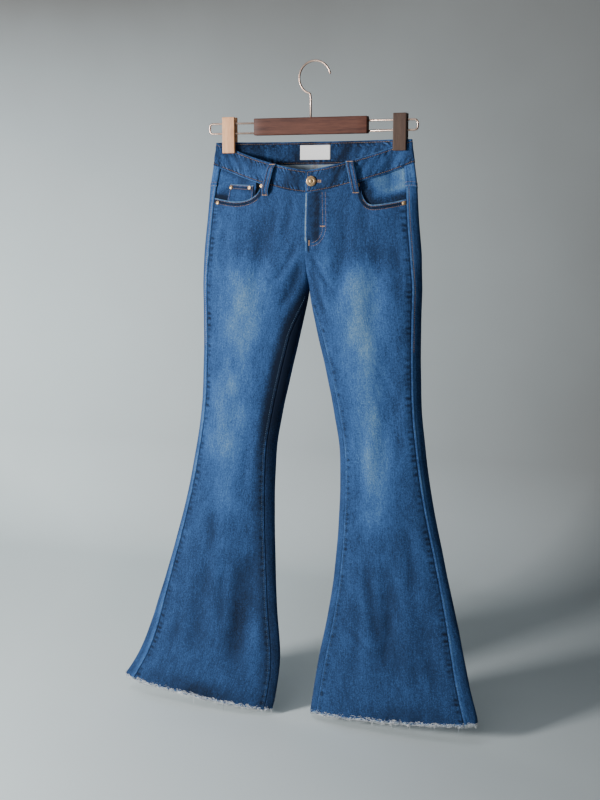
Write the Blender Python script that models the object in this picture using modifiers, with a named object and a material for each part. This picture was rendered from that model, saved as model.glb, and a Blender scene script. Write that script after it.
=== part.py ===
"""Flared five-pocket jeans, clipped by the waistband to a wood and wire hanger.

Metres, +Z up. X runs along the hanger to the viewer's right and the front of the garment faces -Y. The
origin is the highest point inside the hook, where a rail carries the hanger. "Right" and "left" in names
are the wearer's, so a right piece has side -1 and lies at -X.

Every cloth piece is a grid of points on one formula, garment_point. Above the crotch a level of the
garment is one flattened ring, pinched shut where the clips grip it. Below the crotch each leg is an oval.
Between the fly's end and the crotch the one blends into the other. A point is named by its side, its face,
its height z and the fraction u of the way from the inner edge to the outseam.
"""

import math
from collections import namedtuple

import bmesh
import bpy
import numpy as np
from mathutils import Matrix, Vector

RIGHT, LEFT = -1, 1
FRONT, BACK = 1, -1

# Cloth
CLOTH = 0.0012
BAND = 0.0024
SEAM_GAP = 0.0003
LAYER_GAP = 0.0005

# Where the grids' columns and shared rows run
SIDES = ((RIGHT, "right"), (LEFT, "left"))
FRONT_COLUMNS = np.array((0, 0.04, 0.10, 0.19, 0.33, 0.50, 0.515, 0.55, 0.61, 0.69, 0.77, 0.84, 0.875, 0.94, 1))
BACK_COLUMNS = np.array(
    (0, 0.05, 0.10, 0.16, 0.24, 0.34, 0.45, 0.49, 0.57, 0.66, 0.74, 0.79, 0.815, 0.84, 0.87, 0.91, 0.955, 1)
)
UNDERLAP_COLUMNS = np.array((-0.21, -0.14, -0.07))
ROWS_SHARED_FROM = -0.265

# Heights below the hook
BAND_TOP = -0.136
BAND_HEIGHT = 0.039
FRONT_DIP = 0.051
DIP_POWER = 1.36
BLEND_TOP = -0.330
CROTCH = -0.397
HEM_OUTER = {RIGHT: -1.170, LEFT: -1.159}
HEM_INNER = -1.186

# Seams, folds and depth
HIP_SEAM_INSET = {RIGHT: 0.0135, LEFT: 0.0180}
SEAM_INSET = 0.0135
HEM_SEAM_INSET = 0.024
INSEAM_INSET = 0.014
PINCH_REACH = 0.77
PINCH_POWER = 2.4
PINCH_END = -0.265
PINCHED_HALF = 0.00135
FOLD_RADIUS = 0.0022
HEM_TWIST = math.radians(3)
TWIST_TOP = -0.70
TWIST_END = -1.157

# Fly, button and belt loops
FLY_END = -0.300
FLY_LIFT = 0.0010
FLY_SHIELD = (-0.024, 0.038)
UNDERLAP_DROP = 0.0030
BUTTON_X = 0.010
BUTTON_RADIUS = 0.0092
SHANK_RADIUS = 0.0025
BUTTONHOLE = (0.021, 0.030, 0.0064)
LOOP_WIDTH = 0.012
LOOP_LENGTH = 0.055
LOOP_BOW = 0.0062
LOOP_THICKNESS = 0.0016

# Pockets, yoke and label
SCOOP_POWER = 2.3
FACING_BELOW = 0.026
FACING_DEPTH = 0.0018
COIN_TOP = -0.2090
BACK_POCKET = (0.145, 0.150)
BACK_POCKET_X = 0.098
BACK_POCKET_TOP = -0.262
BACK_POCKET_ROWS = slice(1, 11)
YOKE_SIDE = 0.034
YOKE_DROP = 0.038
LABEL = (0.056, 0.025, 0.0010)
LABEL_TOP = -0.1415

# Hanger
HANGER_X = -0.0075
WIRE = 0.0036
HOOK_RADIUS = 0.0287
RAIL_Z = -0.111
RAIL_HALF = 0.195
RAIL_PITCH = 0.0175
BAR_SIZE = (0.210, 0.016, 0.0295)
BAR_Z = -0.1093
CLIP_X = -0.0030
CLIP_REACH = 0.1585
JAW_SIZE = (0.0235, 0.0062, 0.0635)
JAW_TOP = -0.0910
FIT = 0.0003

Torso = namedtuple("Torso", "z half front back")
TORSO = (
    Torso(-0.136, 0.1815, 0.0240, 0.0220),
    Torso(-0.175, 0.1870, 0.0245, 0.0230),
    Torso(-0.207, 0.1920, 0.0250, 0.0260),
    Torso(-0.242, 0.1955, 0.0260, 0.0300),
    Torso(-0.282, 0.1990, 0.0280, 0.0330),
    Torso(-0.332, 0.2040, 0.0300, 0.0340),
    Torso(-0.372, 0.2060, 0.0310, 0.0340),
    Torso(-0.410, 0.2060, 0.0320, 0.0330),
)

Leg = namedtuple("Leg", "z outer inner depth")
LEG = (
    Leg(-0.330, 0.2040, 0.0013, 0.0320),
    Leg(-0.397, 0.2060, 0.0013, 0.0330),
    Leg(-0.452, 0.2055, 0.0115, 0.0330),
    Leg(-0.532, 0.2060, 0.0310, 0.0320),
    Leg(-0.617, 0.2105, 0.0500, 0.0300),
    Leg(-0.682, 0.2190, 0.0610, 0.0300),
    Leg(-0.742, 0.2290, 0.0635, 0.0300),
    Leg(-0.862, 0.2570, 0.0605, 0.0280),
    Leg(-0.982, 0.2910, 0.0505, 0.0260),
    Leg(-1.102, 0.3270, 0.0350, 0.0230),
    Leg(-1.200, 0.3700, 0.0350, 0.0220),
)

Lean = namedtuple("Lean", "z centre forward")
LEAN = (
    Lean(-0.136, -0.0060, 0.0000),
    Lean(-0.160, -0.0062, 0.0000),
    Lean(-0.280, -0.0064, 0.0060),
    Lean(-0.400, -0.0046, 0.0140),
    Lean(-0.680, -0.0014, 0.0300),
    Lean(-0.980, -0.0056, 0.0480),
    Lean(-1.100, -0.0122, 0.0550),
    Lean(-1.200, -0.0262, 0.0600),
)

Pocket = namedtuple("Pocket", "start start_z low low_z end_z gape")
POCKETS = {
    RIGHT: Pocket(0.0870, -0.2065, 0.138, -0.2415, -0.2350, 0.0000),
    LEFT: Pocket(0.0985, -0.2025, 0.122, -0.2470, -0.2370, 0.0012),
}

BeltLoop = namedtuple("BeltLoop", "name face top_across bottom_across")
BELT_LOOPS = (
    BeltLoop("belt_loop_front_right", FRONT, -0.0635, -0.0775),
    BeltLoop("belt_loop_front_left", FRONT, 0.0770, 0.0905),
    BeltLoop("belt_loop_back_right", BACK, -0.0950, -0.0960),
    BeltLoop("belt_loop_back_left", BACK, 0.0950, 0.0960),
    BeltLoop("belt_loop_centre", BACK, 0.0, 0.0),
)

Rivet = namedtuple("Rivet", "name side across z on_coin")
RIVETS = (
    Rivet("rivet_right_inner", RIGHT, 0.0855, -0.2130, False),
    Rivet("rivet_right_outer", RIGHT, 0.1745, -0.2425, False),
    Rivet("rivet_left_inner", LEFT, 0.0925, -0.2130, False),
    Rivet("rivet_left_outer", LEFT, 0.1735, -0.2435, False),
    Rivet("rivet_coin_inner", RIGHT, 0.1110, -0.2160, True),
    Rivet("rivet_coin_outer", RIGHT, 0.1510, -0.2155, True),
)

Sheet = namedtuple("Sheet", "side face u z points")

Fold = namedtuple("Fold", "face top_x top_z bottom_x bottom_z width depth")
FOLDS = (
    Fold(FRONT, -0.078, -0.240, -0.105, -0.440, 0.017, 0.0045),
    Fold(FRONT, 0.072, -0.240, 0.052, -0.440, 0.015, 0.0040),
    Fold(FRONT, 0.122, -0.270, 0.128, -0.520, 0.020, 0.0050),
    Fold(FRONT, 0.150, -0.420, 0.150, -0.760, 0.022, 0.0045),
    Fold(FRONT, -0.085, -0.840, -0.110, -1.100, 0.020, 0.0060),
    Fold(FRONT, -0.190, -0.900, -0.225, -1.120, 0.026, 0.0035),
    Fold(FRONT, 0.150, -0.860, 0.180, -1.120, 0.022, 0.0055),
    Fold(FRONT, 0.215, -0.930, 0.262, -1.130, 0.018, 0.0040),
    Fold(BACK, -0.095, -0.330, -0.085, -0.520, 0.022, 0.0050),
    Fold(BACK, 0.090, -0.340, 0.100, -0.540, 0.020, 0.0045),
    Fold(BACK, -0.150, -0.860, -0.190, -1.120, 0.026, 0.0060),
    Fold(BACK, 0.165, -0.880, 0.215, -1.110, 0.024, 0.0055),
)

DENIM = ((0.045, 0.115, 0.245, 1), 0.85, 0.0)
FRAY = ((0.620, 0.680, 0.740, 1), 0.95, 0.0)
LABEL_CLOTH = ((0.850, 0.850, 0.860, 1), 0.80, 0.0)
DARK_WOOD = ((0.190, 0.070, 0.045, 1), 0.35, 0.0)
CLIP_WOOD = ((0.420, 0.270, 0.180, 1), 0.40, 0.0)
ROSE_METAL = ((0.500, 0.330, 0.270, 1), 0.30, 1.0)
BRASS = ((0.520, 0.320, 0.140, 1), 0.35, 1.0)


def smooth(t):
    """A ramp from 0 to 1 that starts and ends level: 3t^2 - 2t^3, with t held between 0 and 1."""
    t = np.clip(t, 0, 1)
    return t * t * (3 - 2 * t)


def along(rows, column, z):
    """The column's value at height z, on a smooth cubic curve through the table's rows."""
    heights = np.array([row.z for row in rows])[::-1]
    values = np.array([getattr(row, column) for row in rows])[::-1]
    slopes = np.gradient(values, heights)
    z = np.clip(z, heights[0], heights[-1])
    i = np.clip(np.searchsorted(heights, z) - 1, 0, len(heights) - 2)
    step = heights[i + 1] - heights[i]
    t = (z - heights[i]) / step
    from_below = (1 + 2 * t) * values[i] + t * step * slopes[i]
    from_above = (3 - 2 * t) * values[i + 1] - (1 - t) * step * slopes[i + 1]
    return from_below * (1 - t) ** 2 + from_above * t**2


def seam_angle(half, inset):
    """The angle on an oval, from its outer end, at which a seam lies this far inside that end."""
    return np.arccos(1 - inset / half)


def torso_ring(side, face, u, z):
    """The torso's ring: distance from the centre line, depth behind it, and the sine of the ring's angle."""
    half = along(TORSO, "half", z)
    seam = seam_angle(half, HIP_SEAM_INSET[side])
    if face == FRONT:
        angle = np.arccos(u * np.cos(seam))
    else:
        angle = u * (math.pi / 2 + seam) - math.pi / 2
    sine = np.sin(angle)
    across = np.cos(angle)
    depth = np.where(sine > 0, along(TORSO, "front", z), along(TORSO, "back", z))
    lens = 1 - np.minimum(across / PINCH_REACH, 1) ** PINCH_POWER
    turn = np.clip((across - 1) * half / FOLD_RADIUS + 1, 0, 1)
    clip = CLIP_REACH + side * (CLIP_X - LEAN[0].centre)
    gripped = np.exp(-(((across * half - clip) / 0.017) ** 6))
    wall = FOLD_RADIUS * np.sqrt(1 - turn**2) - (FOLD_RADIUS - PINCHED_HALF) * gripped
    pinched = np.sign(sine) * (depth * lens + wall)
    pinch = smooth((z - PINCH_END) / (BAND_TOP - BAND_HEIGHT - PINCH_END))
    return half * across, -(pinch * pinched + (1 - pinch) * depth * sine), sine


def leg_ring(face, u, z):
    """A leg's oval, with both seams rolled to the front: as torso_ring gives it."""
    outer = along(LEG, "outer", z)
    inner = along(LEG, "inner", z)
    half = (outer - inner) / 2
    inset = SEAM_INSET + (HEM_SEAM_INSET - SEAM_INSET) * smooth((-0.85 - z) / 0.33)
    outseam = seam_angle(half, inset)
    inseam = math.pi - seam_angle(half, INSEAM_INSET * smooth((CROTCH - z) / 0.09))
    if face == FRONT:
        angle = np.arccos(np.cos(inseam) * (1 - u) + np.cos(outseam) * u)
    else:
        angle = (inseam - 2 * math.pi) * (1 - u) + outseam * u
    depth = along(LEG, "depth", z)
    return (outer + inner) / 2 + half * np.cos(angle), -depth * np.sin(angle), np.sin(angle)


def fold_depth(face, x, z):
    """How far the folds of one face push the cloth in at (x, z)."""
    total = np.zeros(np.broadcast(x, z).shape)
    for fold in FOLDS:
        if fold.face == face:
            t = (fold.top_z - z) / (fold.top_z - fold.bottom_z)
            middle = fold.top_x + (fold.bottom_x - fold.top_x) * t
            ends = smooth(t / 0.35) * smooth((1 - t) / 0.35)
            total += fold.depth * ends * np.exp(-(((x - middle) / fold.width) ** 2))
    return total


def garment_point(side, face, u, z):
    """The point on the middle of the wall: an array with a last axis of x, y and z."""
    u, z = np.broadcast_arrays(np.asarray(u, float), np.asarray(z, float))
    to_leg = smooth((BLEND_TOP - z) / (BLEND_TOP - CROTCH))
    torso = torso_ring(side, face, u, z)
    leg = leg_ring(face, u, z)
    out, y, sine = [t * (1 - to_leg) + l * to_leg for t, l in zip(torso, leg)]
    x = along(LEAN, "centre", z) + side * out
    y = y + fold_depth(FRONT, x, z) * np.maximum(sine, 0)
    y = y - fold_depth(BACK, x, z) * np.maximum(-sine, 0)
    if face == FRONT and side == LEFT:
        y = y - FLY_LIFT * np.exp(-((out / 0.012) ** 2)) * smooth((z - FLY_END) / 0.02)
    if face == FRONT:
        pocket = POCKETS[side]
        lip = np.exp(-(((out - 0.128) / 0.024) ** 2)) * np.exp(-(((z - pocket.low_z) / 0.022) ** 2))
        y = y - pocket.gape * lip
    leg_middle = along(LEG, "outer", z) / 2 + along(LEG, "inner", z) / 2
    twist = math.tan(HEM_TWIST) * smooth((TWIST_TOP - z) / (TWIST_TOP - TWIST_END))
    y = y - along(LEAN, "forward", z) - side * (out - leg_middle) * twist
    return np.stack([x, y, z], axis=-1)


def outward(side, face, u, z):
    """The unit direction out of the garment, from the surface's own slopes."""
    step = 1e-4
    points = garment_point(side, face, u, z)
    along_u = garment_point(side, face, np.asarray(u) + step, z) - points
    along_z = garment_point(side, face, u, np.asarray(z) + step) - points
    normal = side * face * np.cross(along_u, along_z)
    return normal / np.linalg.norm(normal, axis=-1, keepdims=True)


def out_from(side, face, u, z, out):
    """The wall's middle moved outwards by a distance."""
    return garment_point(side, face, u, z) + outward(side, face, u, z) * np.asarray(out)[..., None]


def on_sheet(sheet, u, z, out):
    """Points at (u, z) read from a sheet's own grid, moved outwards, so that they clear its flat facets."""
    u, z, out = np.broadcast_arrays(u, z, out)
    found = np.empty(u.shape + (3,))
    for place in np.ndindex(u.shape):
        column = np.interp(u[place], sheet.u, np.arange(len(sheet.u)))
        left = min(int(column), len(sheet.u) - 2)
        part = column - left
        heights = sheet.z[:, left] * (1 - part) + sheet.z[:, left + 1] * part
        line = sheet.points[:, left] * (1 - part) + sheet.points[:, left + 1] * part
        row = np.interp(-z[place], -heights, np.arange(len(heights)))
        for axis in range(3):
            found[place][axis] = np.interp(row, np.arange(len(line)), line[:, axis])
    return found + outward(sheet.side, sheet.face, u, z) * out[..., None]


def torso_seam(side, z):
    """The torso's half width and the angle of its outseam."""
    half = along(TORSO, "half", z)
    return half, seam_angle(half, HIP_SEAM_INSET[side])


def torso_u(side, face, across, z):
    """The fraction u at this distance from the torso's centre line."""
    half, seam = torso_seam(side, z)
    if face == FRONT:
        return across / (half * np.cos(seam))
    return (math.pi / 2 - np.arccos(across / half)) / (math.pi / 2 + seam)


def band_top(side, face, u):
    """The height of the waistband's upper edge: level at the back, dipping to the middle at the front."""
    seam = torso_seam(side, BAND_TOP)[1]
    if face == FRONT:
        angle = np.arccos(np.asarray(u) * np.cos(seam))
    else:
        angle = np.asarray(u) * (math.pi / 2 + seam) - math.pi / 2
    return BAND_TOP - FRONT_DIP * (1 - np.cos(angle) ** DIP_POWER) * (angle > 0)


def waist_seam(side, face, u):
    return band_top(side, face, u) - BAND_HEIGHT


def pocket_edge(side, across):
    """The height of the pocket's scoop: a quarter of a rounded square, then a gentle rise to the outseam."""
    pocket = POCKETS[side]
    t = np.clip((pocket.low - across) / (pocket.low - pocket.start), 0, 1)
    drop = (pocket.start_z - pocket.low_z) * (1 - t**SCOOP_POWER) ** (1 / SCOOP_POWER)
    rise = np.clip((across - pocket.low) / (0.180 - pocket.low), 0, 1)
    return pocket.start_z - drop + (pocket.end_z - pocket.low_z) * rise**1.4


def front_top(side, u):
    """The front panel's upper edge: the waist seam, or the pocket's scoop from where it starts."""
    half, seam = torso_seam(side, POCKETS[side].low_z)
    across = u * half * np.cos(seam)
    edge = waist_seam(side, FRONT, u)
    scoop = np.minimum(edge, pocket_edge(side, across))
    return np.where(across < POCKETS[side].start, edge, scoop)


def yoke_seam(side, u):
    return np.minimum(BAND_TOP - BAND_HEIGHT, waist_seam(side, BACK, u)) - YOKE_SIDE - YOKE_DROP * (1 - u)


def hem(face, side, u):
    """The hem's height, tilted from the inseam up to the outseam."""
    x_here = garment_point(side, face, u, HEM_INNER)[..., 0]
    inner = garment_point(side, FRONT, 0.0, HEM_INNER)[0]
    outer = garment_point(side, FRONT, 1.0, HEM_INNER)[0]
    return HEM_INNER + (HEM_OUTER[side] - HEM_INNER) * (x_here - inner) / (outer - inner)


def material(name, look):
    """A plain Principled material: its colour, roughness and metallic value."""
    made = bpy.data.materials.new(name)
    made.use_nodes = True
    shader = made.node_tree.nodes["Principled BSDF"]
    colour, roughness, metallic = look
    shader.inputs["Base Color"].default_value = colour
    shader.inputs["Roughness"].default_value = roughness
    shader.inputs["Metallic"].default_value = metallic
    made.diffuse_color = colour
    return made


def place(name, mesh, look, collection, smooth_angle=None):
    """Makes one named object of a mesh, with a material of its own."""
    obj = bpy.data.objects.new(name, mesh)
    collection.objects.link(obj)
    obj.data.materials.append(material(name, look))
    if smooth_angle:
        obj.data.shade_smooth()
        obj.data.set_sharp_from_angle(angle=smooth_angle)
    return obj


def parted(points, by=SEAM_GAP / 2):
    """The grid with its border rows and columns drawn in by half a seam's gap."""
    points = points.copy()
    for border, inside in ((0, 1), (-1, -2)):
        step = points[inside] - points[border]
        points[border] += by * step / np.linalg.norm(step, axis=-1, keepdims=True)
        step = points[:, inside] - points[:, border]
        points[:, border] += by * step / np.linalg.norm(step, axis=-1, keepdims=True)
    return points


def grid_mesh(name, points):
    """A Blender grid whose vertices are moved to these points, rows by columns."""
    rows, columns = points.shape[:2]
    shape = bmesh.new()
    bmesh.ops.create_grid(shape, x_segments=columns - 1, y_segments=rows - 1, size=1)
    shape.verts.ensure_lookup_table()
    for vertex, point in zip(shape.verts, points.reshape(-1, 3)):
        vertex.co = point
    mesh = bpy.data.meshes.new(name)
    shape.to_mesh(mesh)
    shape.free()
    return mesh


def cloth(name, points, collection, thickness=CLOTH, look=DENIM):
    """A sheet of cloth: an open surface through the points, given its wall on both sides."""
    obj = place(name, grid_mesh(name, parted(points)), look, collection, math.radians(40))
    facets = obj.modifiers.new("Facets", "TRIANGULATE")
    facets.quad_method = "FIXED"
    wall = obj.modifiers.new("Wall", "SOLIDIFY")
    wall.thickness = thickness
    wall.offset = 0
    return obj


def between(top, bottom, shares):
    """Heights from the top edge to the bottom edge, a row for each share of the way."""
    return top[None, :] + (bottom - top)[None, :] * np.asarray(shares)[:, None]


def panel_heights(face, side, u, top):
    """A panel's rows: a few from its upper edge to a level below the pockets, then shared by all panels."""
    upper = between(top, np.full(len(u), ROWS_SHARED_FROM), np.linspace(0, 1, 4))
    torso = np.linspace(0, 0.17, 6)
    leg = np.linspace(0.17, 1, 19)
    shares = np.concatenate([torso[1:], leg[1:]])
    return np.concatenate([upper, between(upper[-1], hem(face, side, u), shares)])


def sheet_of(side, face, u, z):
    """The garment's own points over a grid of fractions and heights."""
    return Sheet(side, face, u, z, garment_point(side, face, u, z))


def make_panels(collection):
    """Two fronts and two backs, each from its upper seam to the hem. It returns the backs."""
    backs = {}
    for side, word in SIDES:
        heights = panel_heights(FRONT, side, FRONT_COLUMNS, front_top(side, FRONT_COLUMNS))
        cloth(f"front_{word}", sheet_of(side, FRONT, FRONT_COLUMNS, heights).points, collection)
        heights = panel_heights(BACK, side, BACK_COLUMNS, yoke_seam(side, BACK_COLUMNS))
        backs[side] = sheet_of(side, BACK, BACK_COLUMNS, heights)
        cloth(f"back_{word}", backs[side].points, collection)
    return backs


def make_yokes(collection):
    """Two yokes between the waistband and the backs."""
    for side, word in SIDES:
        u = BACK_COLUMNS
        heights = between(waist_seam(side, BACK, u), yoke_seam(side, u), np.linspace(0, 1, 4))
        cloth(f"yoke_{word}", garment_point(side, BACK, u, heights), collection)


def band_points(side, face, u):
    """A waistband's grid. A negative u lies past the middle, on the other side, as the underlap does."""
    top = band_top(side, face, np.abs(u))
    heights = between(top, top - BAND_HEIGHT, np.linspace(0, 1, 4))
    points = garment_point(side, face, np.abs(u), heights)
    middle = along(LEAN, "centre", heights)
    points[..., 0] = np.where(u < 0, 2 * middle - points[..., 0], points[..., 0])
    return points


def make_waistband(collection):
    """The front bands, the right one running on under the left as the underlap, and the back band."""
    u = np.concatenate([UNDERLAP_COLUMNS, FRONT_COLUMNS])
    points = band_points(RIGHT, FRONT, u)
    points[..., 1] += UNDERLAP_DROP * smooth((0.12 - u) / 0.12)
    cloth("waistband_right", points, collection, BAND)

    left = cloth("waistband_left", band_points(LEFT, FRONT, FRONT_COLUMNS), collection, BAND)
    bpy.ops.mesh.primitive_cube_add(size=1)
    slot = bpy.context.object
    slot.name = "buttonhole_cutter"
    slot.dimensions = BUTTONHOLE
    slot.location = button_frame()[0] + Vector((BUTTONHOLE[0] / 2 - 0.004, 0, 0))
    hide_cutter(slot)
    cut = left.modifiers.new("Buttonhole", "BOOLEAN")
    cut.operation = "DIFFERENCE"
    cut.object = slot

    right_half = band_points(RIGHT, BACK, BACK_COLUMNS)[:, :0:-1]
    left_half = band_points(LEFT, BACK, BACK_COLUMNS)
    cloth("waistband_back", np.concatenate([right_half, left_half], axis=1), collection, BAND)


def hide_cutter(obj):
    """Moves a cutter to its own collection and keeps it out of the render."""
    for owner in list(obj.users_collection):
        owner.objects.unlink(obj)
    bpy.data.collections["cutters"].objects.link(obj)
    obj.hide_render = True
    obj.display_type = "WIRE"


def button_frame():
    """The point on the waistband's outside where the button's head sits, and the outward direction."""
    u = torso_u(LEFT, FRONT, BUTTON_X, BAND_TOP - FRONT_DIP)
    z = band_top(LEFT, FRONT, u) - BAND_HEIGHT * 0.5
    point = out_from(LEFT, FRONT, u, z, BAND / 2 + SEAM_GAP)
    return Vector(point), Vector(outward(LEFT, FRONT, u, z))


def both_sides(face, across, z, out):
    """Points across the middle line: a negative distance lies on the right side."""
    points = {}
    for side, _ in SIDES:
        u = torso_u(side, face, np.abs(across), z)
        points[side] = out_from(side, face, u, z, out)
    return np.where((across * np.ones_like(z) < 0)[..., None], points[RIGHT], points[LEFT])


def make_fly(collection):
    """The underlap behind the fly's edge, from the waist seam down to the fly's end."""
    across = np.linspace(*FLY_SHIELD, 6)
    top = waist_seam(LEFT, FRONT, np.abs(across) / (TORSO[1].half - SEAM_INSET))
    heights = between(top, np.full(6, FLY_END + 0.006), np.linspace(0, 1, 6))
    behind = np.full_like(heights, -(CLOTH + LAYER_GAP + FLY_LIFT))
    cloth("fly_shield", both_sides(FRONT, across, heights, behind), collection)


def make_pockets(collection, backs):
    """Front pocket facings, the coin pocket on the right one, and two patch pockets at the back."""
    facings = {}
    shares = np.linspace(0, 1, 8)
    for side, word in SIDES:
        pocket = POCKETS[side]
        u = FRONT_COLUMNS[FRONT_COLUMNS > 0.52]
        top = waist_seam(side, FRONT, u)
        half, seam = torso_seam(side, pocket.low_z)
        across = np.maximum(u * half * np.cos(seam), pocket.start + 0.012)
        heights = between(top, pocket_edge(side, across) - FACING_BELOW, shares)
        middle = smooth(shares[:, None] / 0.25) * smooth((1 - u) / 0.12)
        mouth = np.exp(-(((u - 0.69) / 0.16) ** 2 + ((shares[:, None] - 0.62) / 0.25) ** 2))
        behind = FACING_DEPTH * (1 + middle) + pocket.gape * mouth
        facings[side] = Sheet(side, FRONT, u, heights, out_from(side, FRONT, u, heights, -behind))
        cloth(f"pocket_facing_{word}", facings[side].points, collection)

    u = np.linspace(0.575, 0.855, 7)
    heights = between(COIN_TOP - 0.012 * (0.855 - u), np.full(7, COIN_TOP - 0.046), np.linspace(0, 1, 6))
    coin = Sheet(RIGHT, FRONT, u, heights, on_sheet(facings[RIGHT], u, heights, CLOTH + SEAM_GAP))
    cloth("coin_pocket", coin.points, collection)

    width, height = BACK_POCKET[0] / 2, BACK_POCKET[1]
    lower, narrow = -0.8 * height, 0.88 * width
    outline = ((-width, 0), (width, 0), (narrow, lower), (0, -height), (-narrow, lower))
    for side, word in SIDES:
        back = backs[side]
        lifted = back.points + outward(side, BACK, back.u, back.z) * (CLOTH + LAYER_GAP)
        near = lifted[BACK_POCKET_ROWS, : len(back.u) - 7]
        pocket = cloth(f"back_pocket_{word}", near, collection)
        middle = LEAN[1].centre + side * BACK_POCKET_X
        cut_to(pocket, [(middle + x, BACK_POCKET_TOP + z) for x, z in outline])
    return coin


def cut_to(obj, outline):
    """Keeps the part of a sheet that lies inside an outline of (x, z) points, seen from the back."""
    shape = bmesh.new()
    corners = [shape.verts.new((x, -0.05, z)) for x, z in outline]
    face = shape.faces.new(corners)
    away = bmesh.ops.extrude_face_region(shape, geom=[face])
    moved = [item for item in away["geom"] if isinstance(item, bmesh.types.BMVert)]
    bmesh.ops.translate(shape, vec=(0, 0.15, 0), verts=moved)
    bmesh.ops.recalc_face_normals(shape, faces=shape.faces)
    mesh = bpy.data.meshes.new(f"{obj.name}_outline")
    shape.to_mesh(mesh)
    shape.free()
    cutter = bpy.data.objects.new(f"{obj.name}_outline", mesh)
    bpy.context.scene.collection.objects.link(cutter)
    hide_cutter(cutter)
    cut = obj.modifiers.new("Outline", "BOOLEAN")
    cut.operation = "INTERSECT"
    cut.object = cutter


def make_belt_loops(collection):
    """Five belt loops: both ends on the cloth, the middle bowed out far enough for a belt."""
    share = np.linspace(0, 1, 11)
    bow = smooth(share / 0.17) * smooth((1 - share) / 0.17)
    lowest = BAND / 2 + SEAM_GAP + LOOP_THICKNESS / 2
    out = lowest + (LOOP_BOW + SEAM_GAP) * bow
    for loop in BELT_LOOPS:
        middle = loop.top_across + (loop.bottom_across - loop.top_across) * share
        across = middle[:, None] + np.array([-0.5, 0.5]) * LOOP_WIDTH
        u = torso_u(LEFT, loop.face, abs(loop.top_across), BAND_TOP)
        top = band_top(LEFT, loop.face, u) - 0.0005
        heights = np.repeat((top - LOOP_LENGTH * share)[:, None], 2, axis=1)
        points = both_sides(loop.face, across, heights, np.repeat(out[:, None], 2, axis=1))
        cloth(loop.name, points, collection, LOOP_THICKNESS)


def make_label(collection):
    """A blank label inside the back of the waistband."""
    across = np.linspace(-0.5, 0.5, 7) * LABEL[0]
    heights = between(np.full(7, LABEL_TOP), np.full(7, LABEL_TOP - LABEL[1]), (0, 0.5, 1))
    inward = np.full_like(heights, -(BAND / 2 + LAYER_GAP + LABEL[2] / 2))
    cloth("label", both_sides(BACK, across, heights, inward), collection, LABEL[2], LABEL_CLOTH)


def turned(name, profile, sides, look, collection):
    """A shape turned about its local Z: a profile of (radius, height) from the top down, with a Screw modifier."""
    mesh = bpy.data.meshes.new(name)
    edges = [(i, i + 1) for i in range(len(profile) - 1)]
    mesh.from_pydata([(radius, 0, height) for radius, height in profile], edges, [])
    obj = place(name, mesh, look, collection)
    screw = obj.modifiers.new("Turn", "SCREW")
    screw.steps = sides
    screw.render_steps = sides
    screw.use_merge_vertices = True
    screw.merge_threshold = 0.00001
    screw.use_smooth_shade = True
    return obj


def face_out(obj, point, outward):
    """Stands an object's local Z along the cloth's outward direction, at the point."""
    turn = Vector(outward).to_track_quat("Z", "Y").to_matrix().to_4x4()
    obj.matrix_world = Matrix.Translation(Vector(point)) @ turn


def make_button(collection):
    """A shank button: its head outside the left band, its shank through the buttonhole to the underlap."""
    shank = BAND + 2 * SEAM_GAP
    profile = (
        (0, 0.0036),
        (0.0050, 0.0033),
        (0.0078, 0.0026),
        (BUTTON_RADIUS, 0.0012),
        (BUTTON_RADIUS, 0.0),
        (SHANK_RADIUS, 0.0),
        (SHANK_RADIUS, -shank),
        (0, -shank),
    )
    face_out(turned("button", profile, 20, BRASS, collection), *button_frame())


def make_rivets(collection, coin):
    """Domed rivets at the pockets' ends and on the coin pocket's corners."""
    dome = ((0, 0.0016), (0.0022, 0.0013), (0.0038, 0.0004), (0.0038, 0), (0, 0))
    lift = CLOTH / 2 + SEAM_GAP
    for rivet in RIVETS:
        obj = turned(rivet.name, dome, 12, BRASS, collection)
        u = torso_u(rivet.side, FRONT, rivet.across, rivet.z)
        if rivet.on_coin:
            heights = np.array((rivet.z, rivet.z, rivet.z - 0.004))
            corner = on_sheet(coin, np.array((u - 0.02, u + 0.02, u)), heights, 0.0)
            way = np.cross(corner[2] - corner[0], corner[1] - corner[0])
            way *= -np.sign(way[1]) / np.linalg.norm(way)
            point = corner[:2].mean(axis=0) + way * lift
        else:
            way = outward(rivet.side, FRONT, u, rivet.z)
            point = out_from(rivet.side, FRONT, u, rivet.z, lift)
        face_out(obj, point, way)


def hem_ring(side, count, below):
    """Points round a hem, a distance below its edge: along the front from the inseam, then back."""
    front = np.linspace(0, 1, count // 2 + 1)
    back = np.linspace(1, 0, count - count // 2 + 1)[1:]
    front_points = garment_point(side, FRONT, front, hem(FRONT, side, front) - below)
    back_points = garment_point(side, BACK, back, hem(BACK, side, back) - below)
    return np.concatenate([front_points, back_points])


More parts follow.
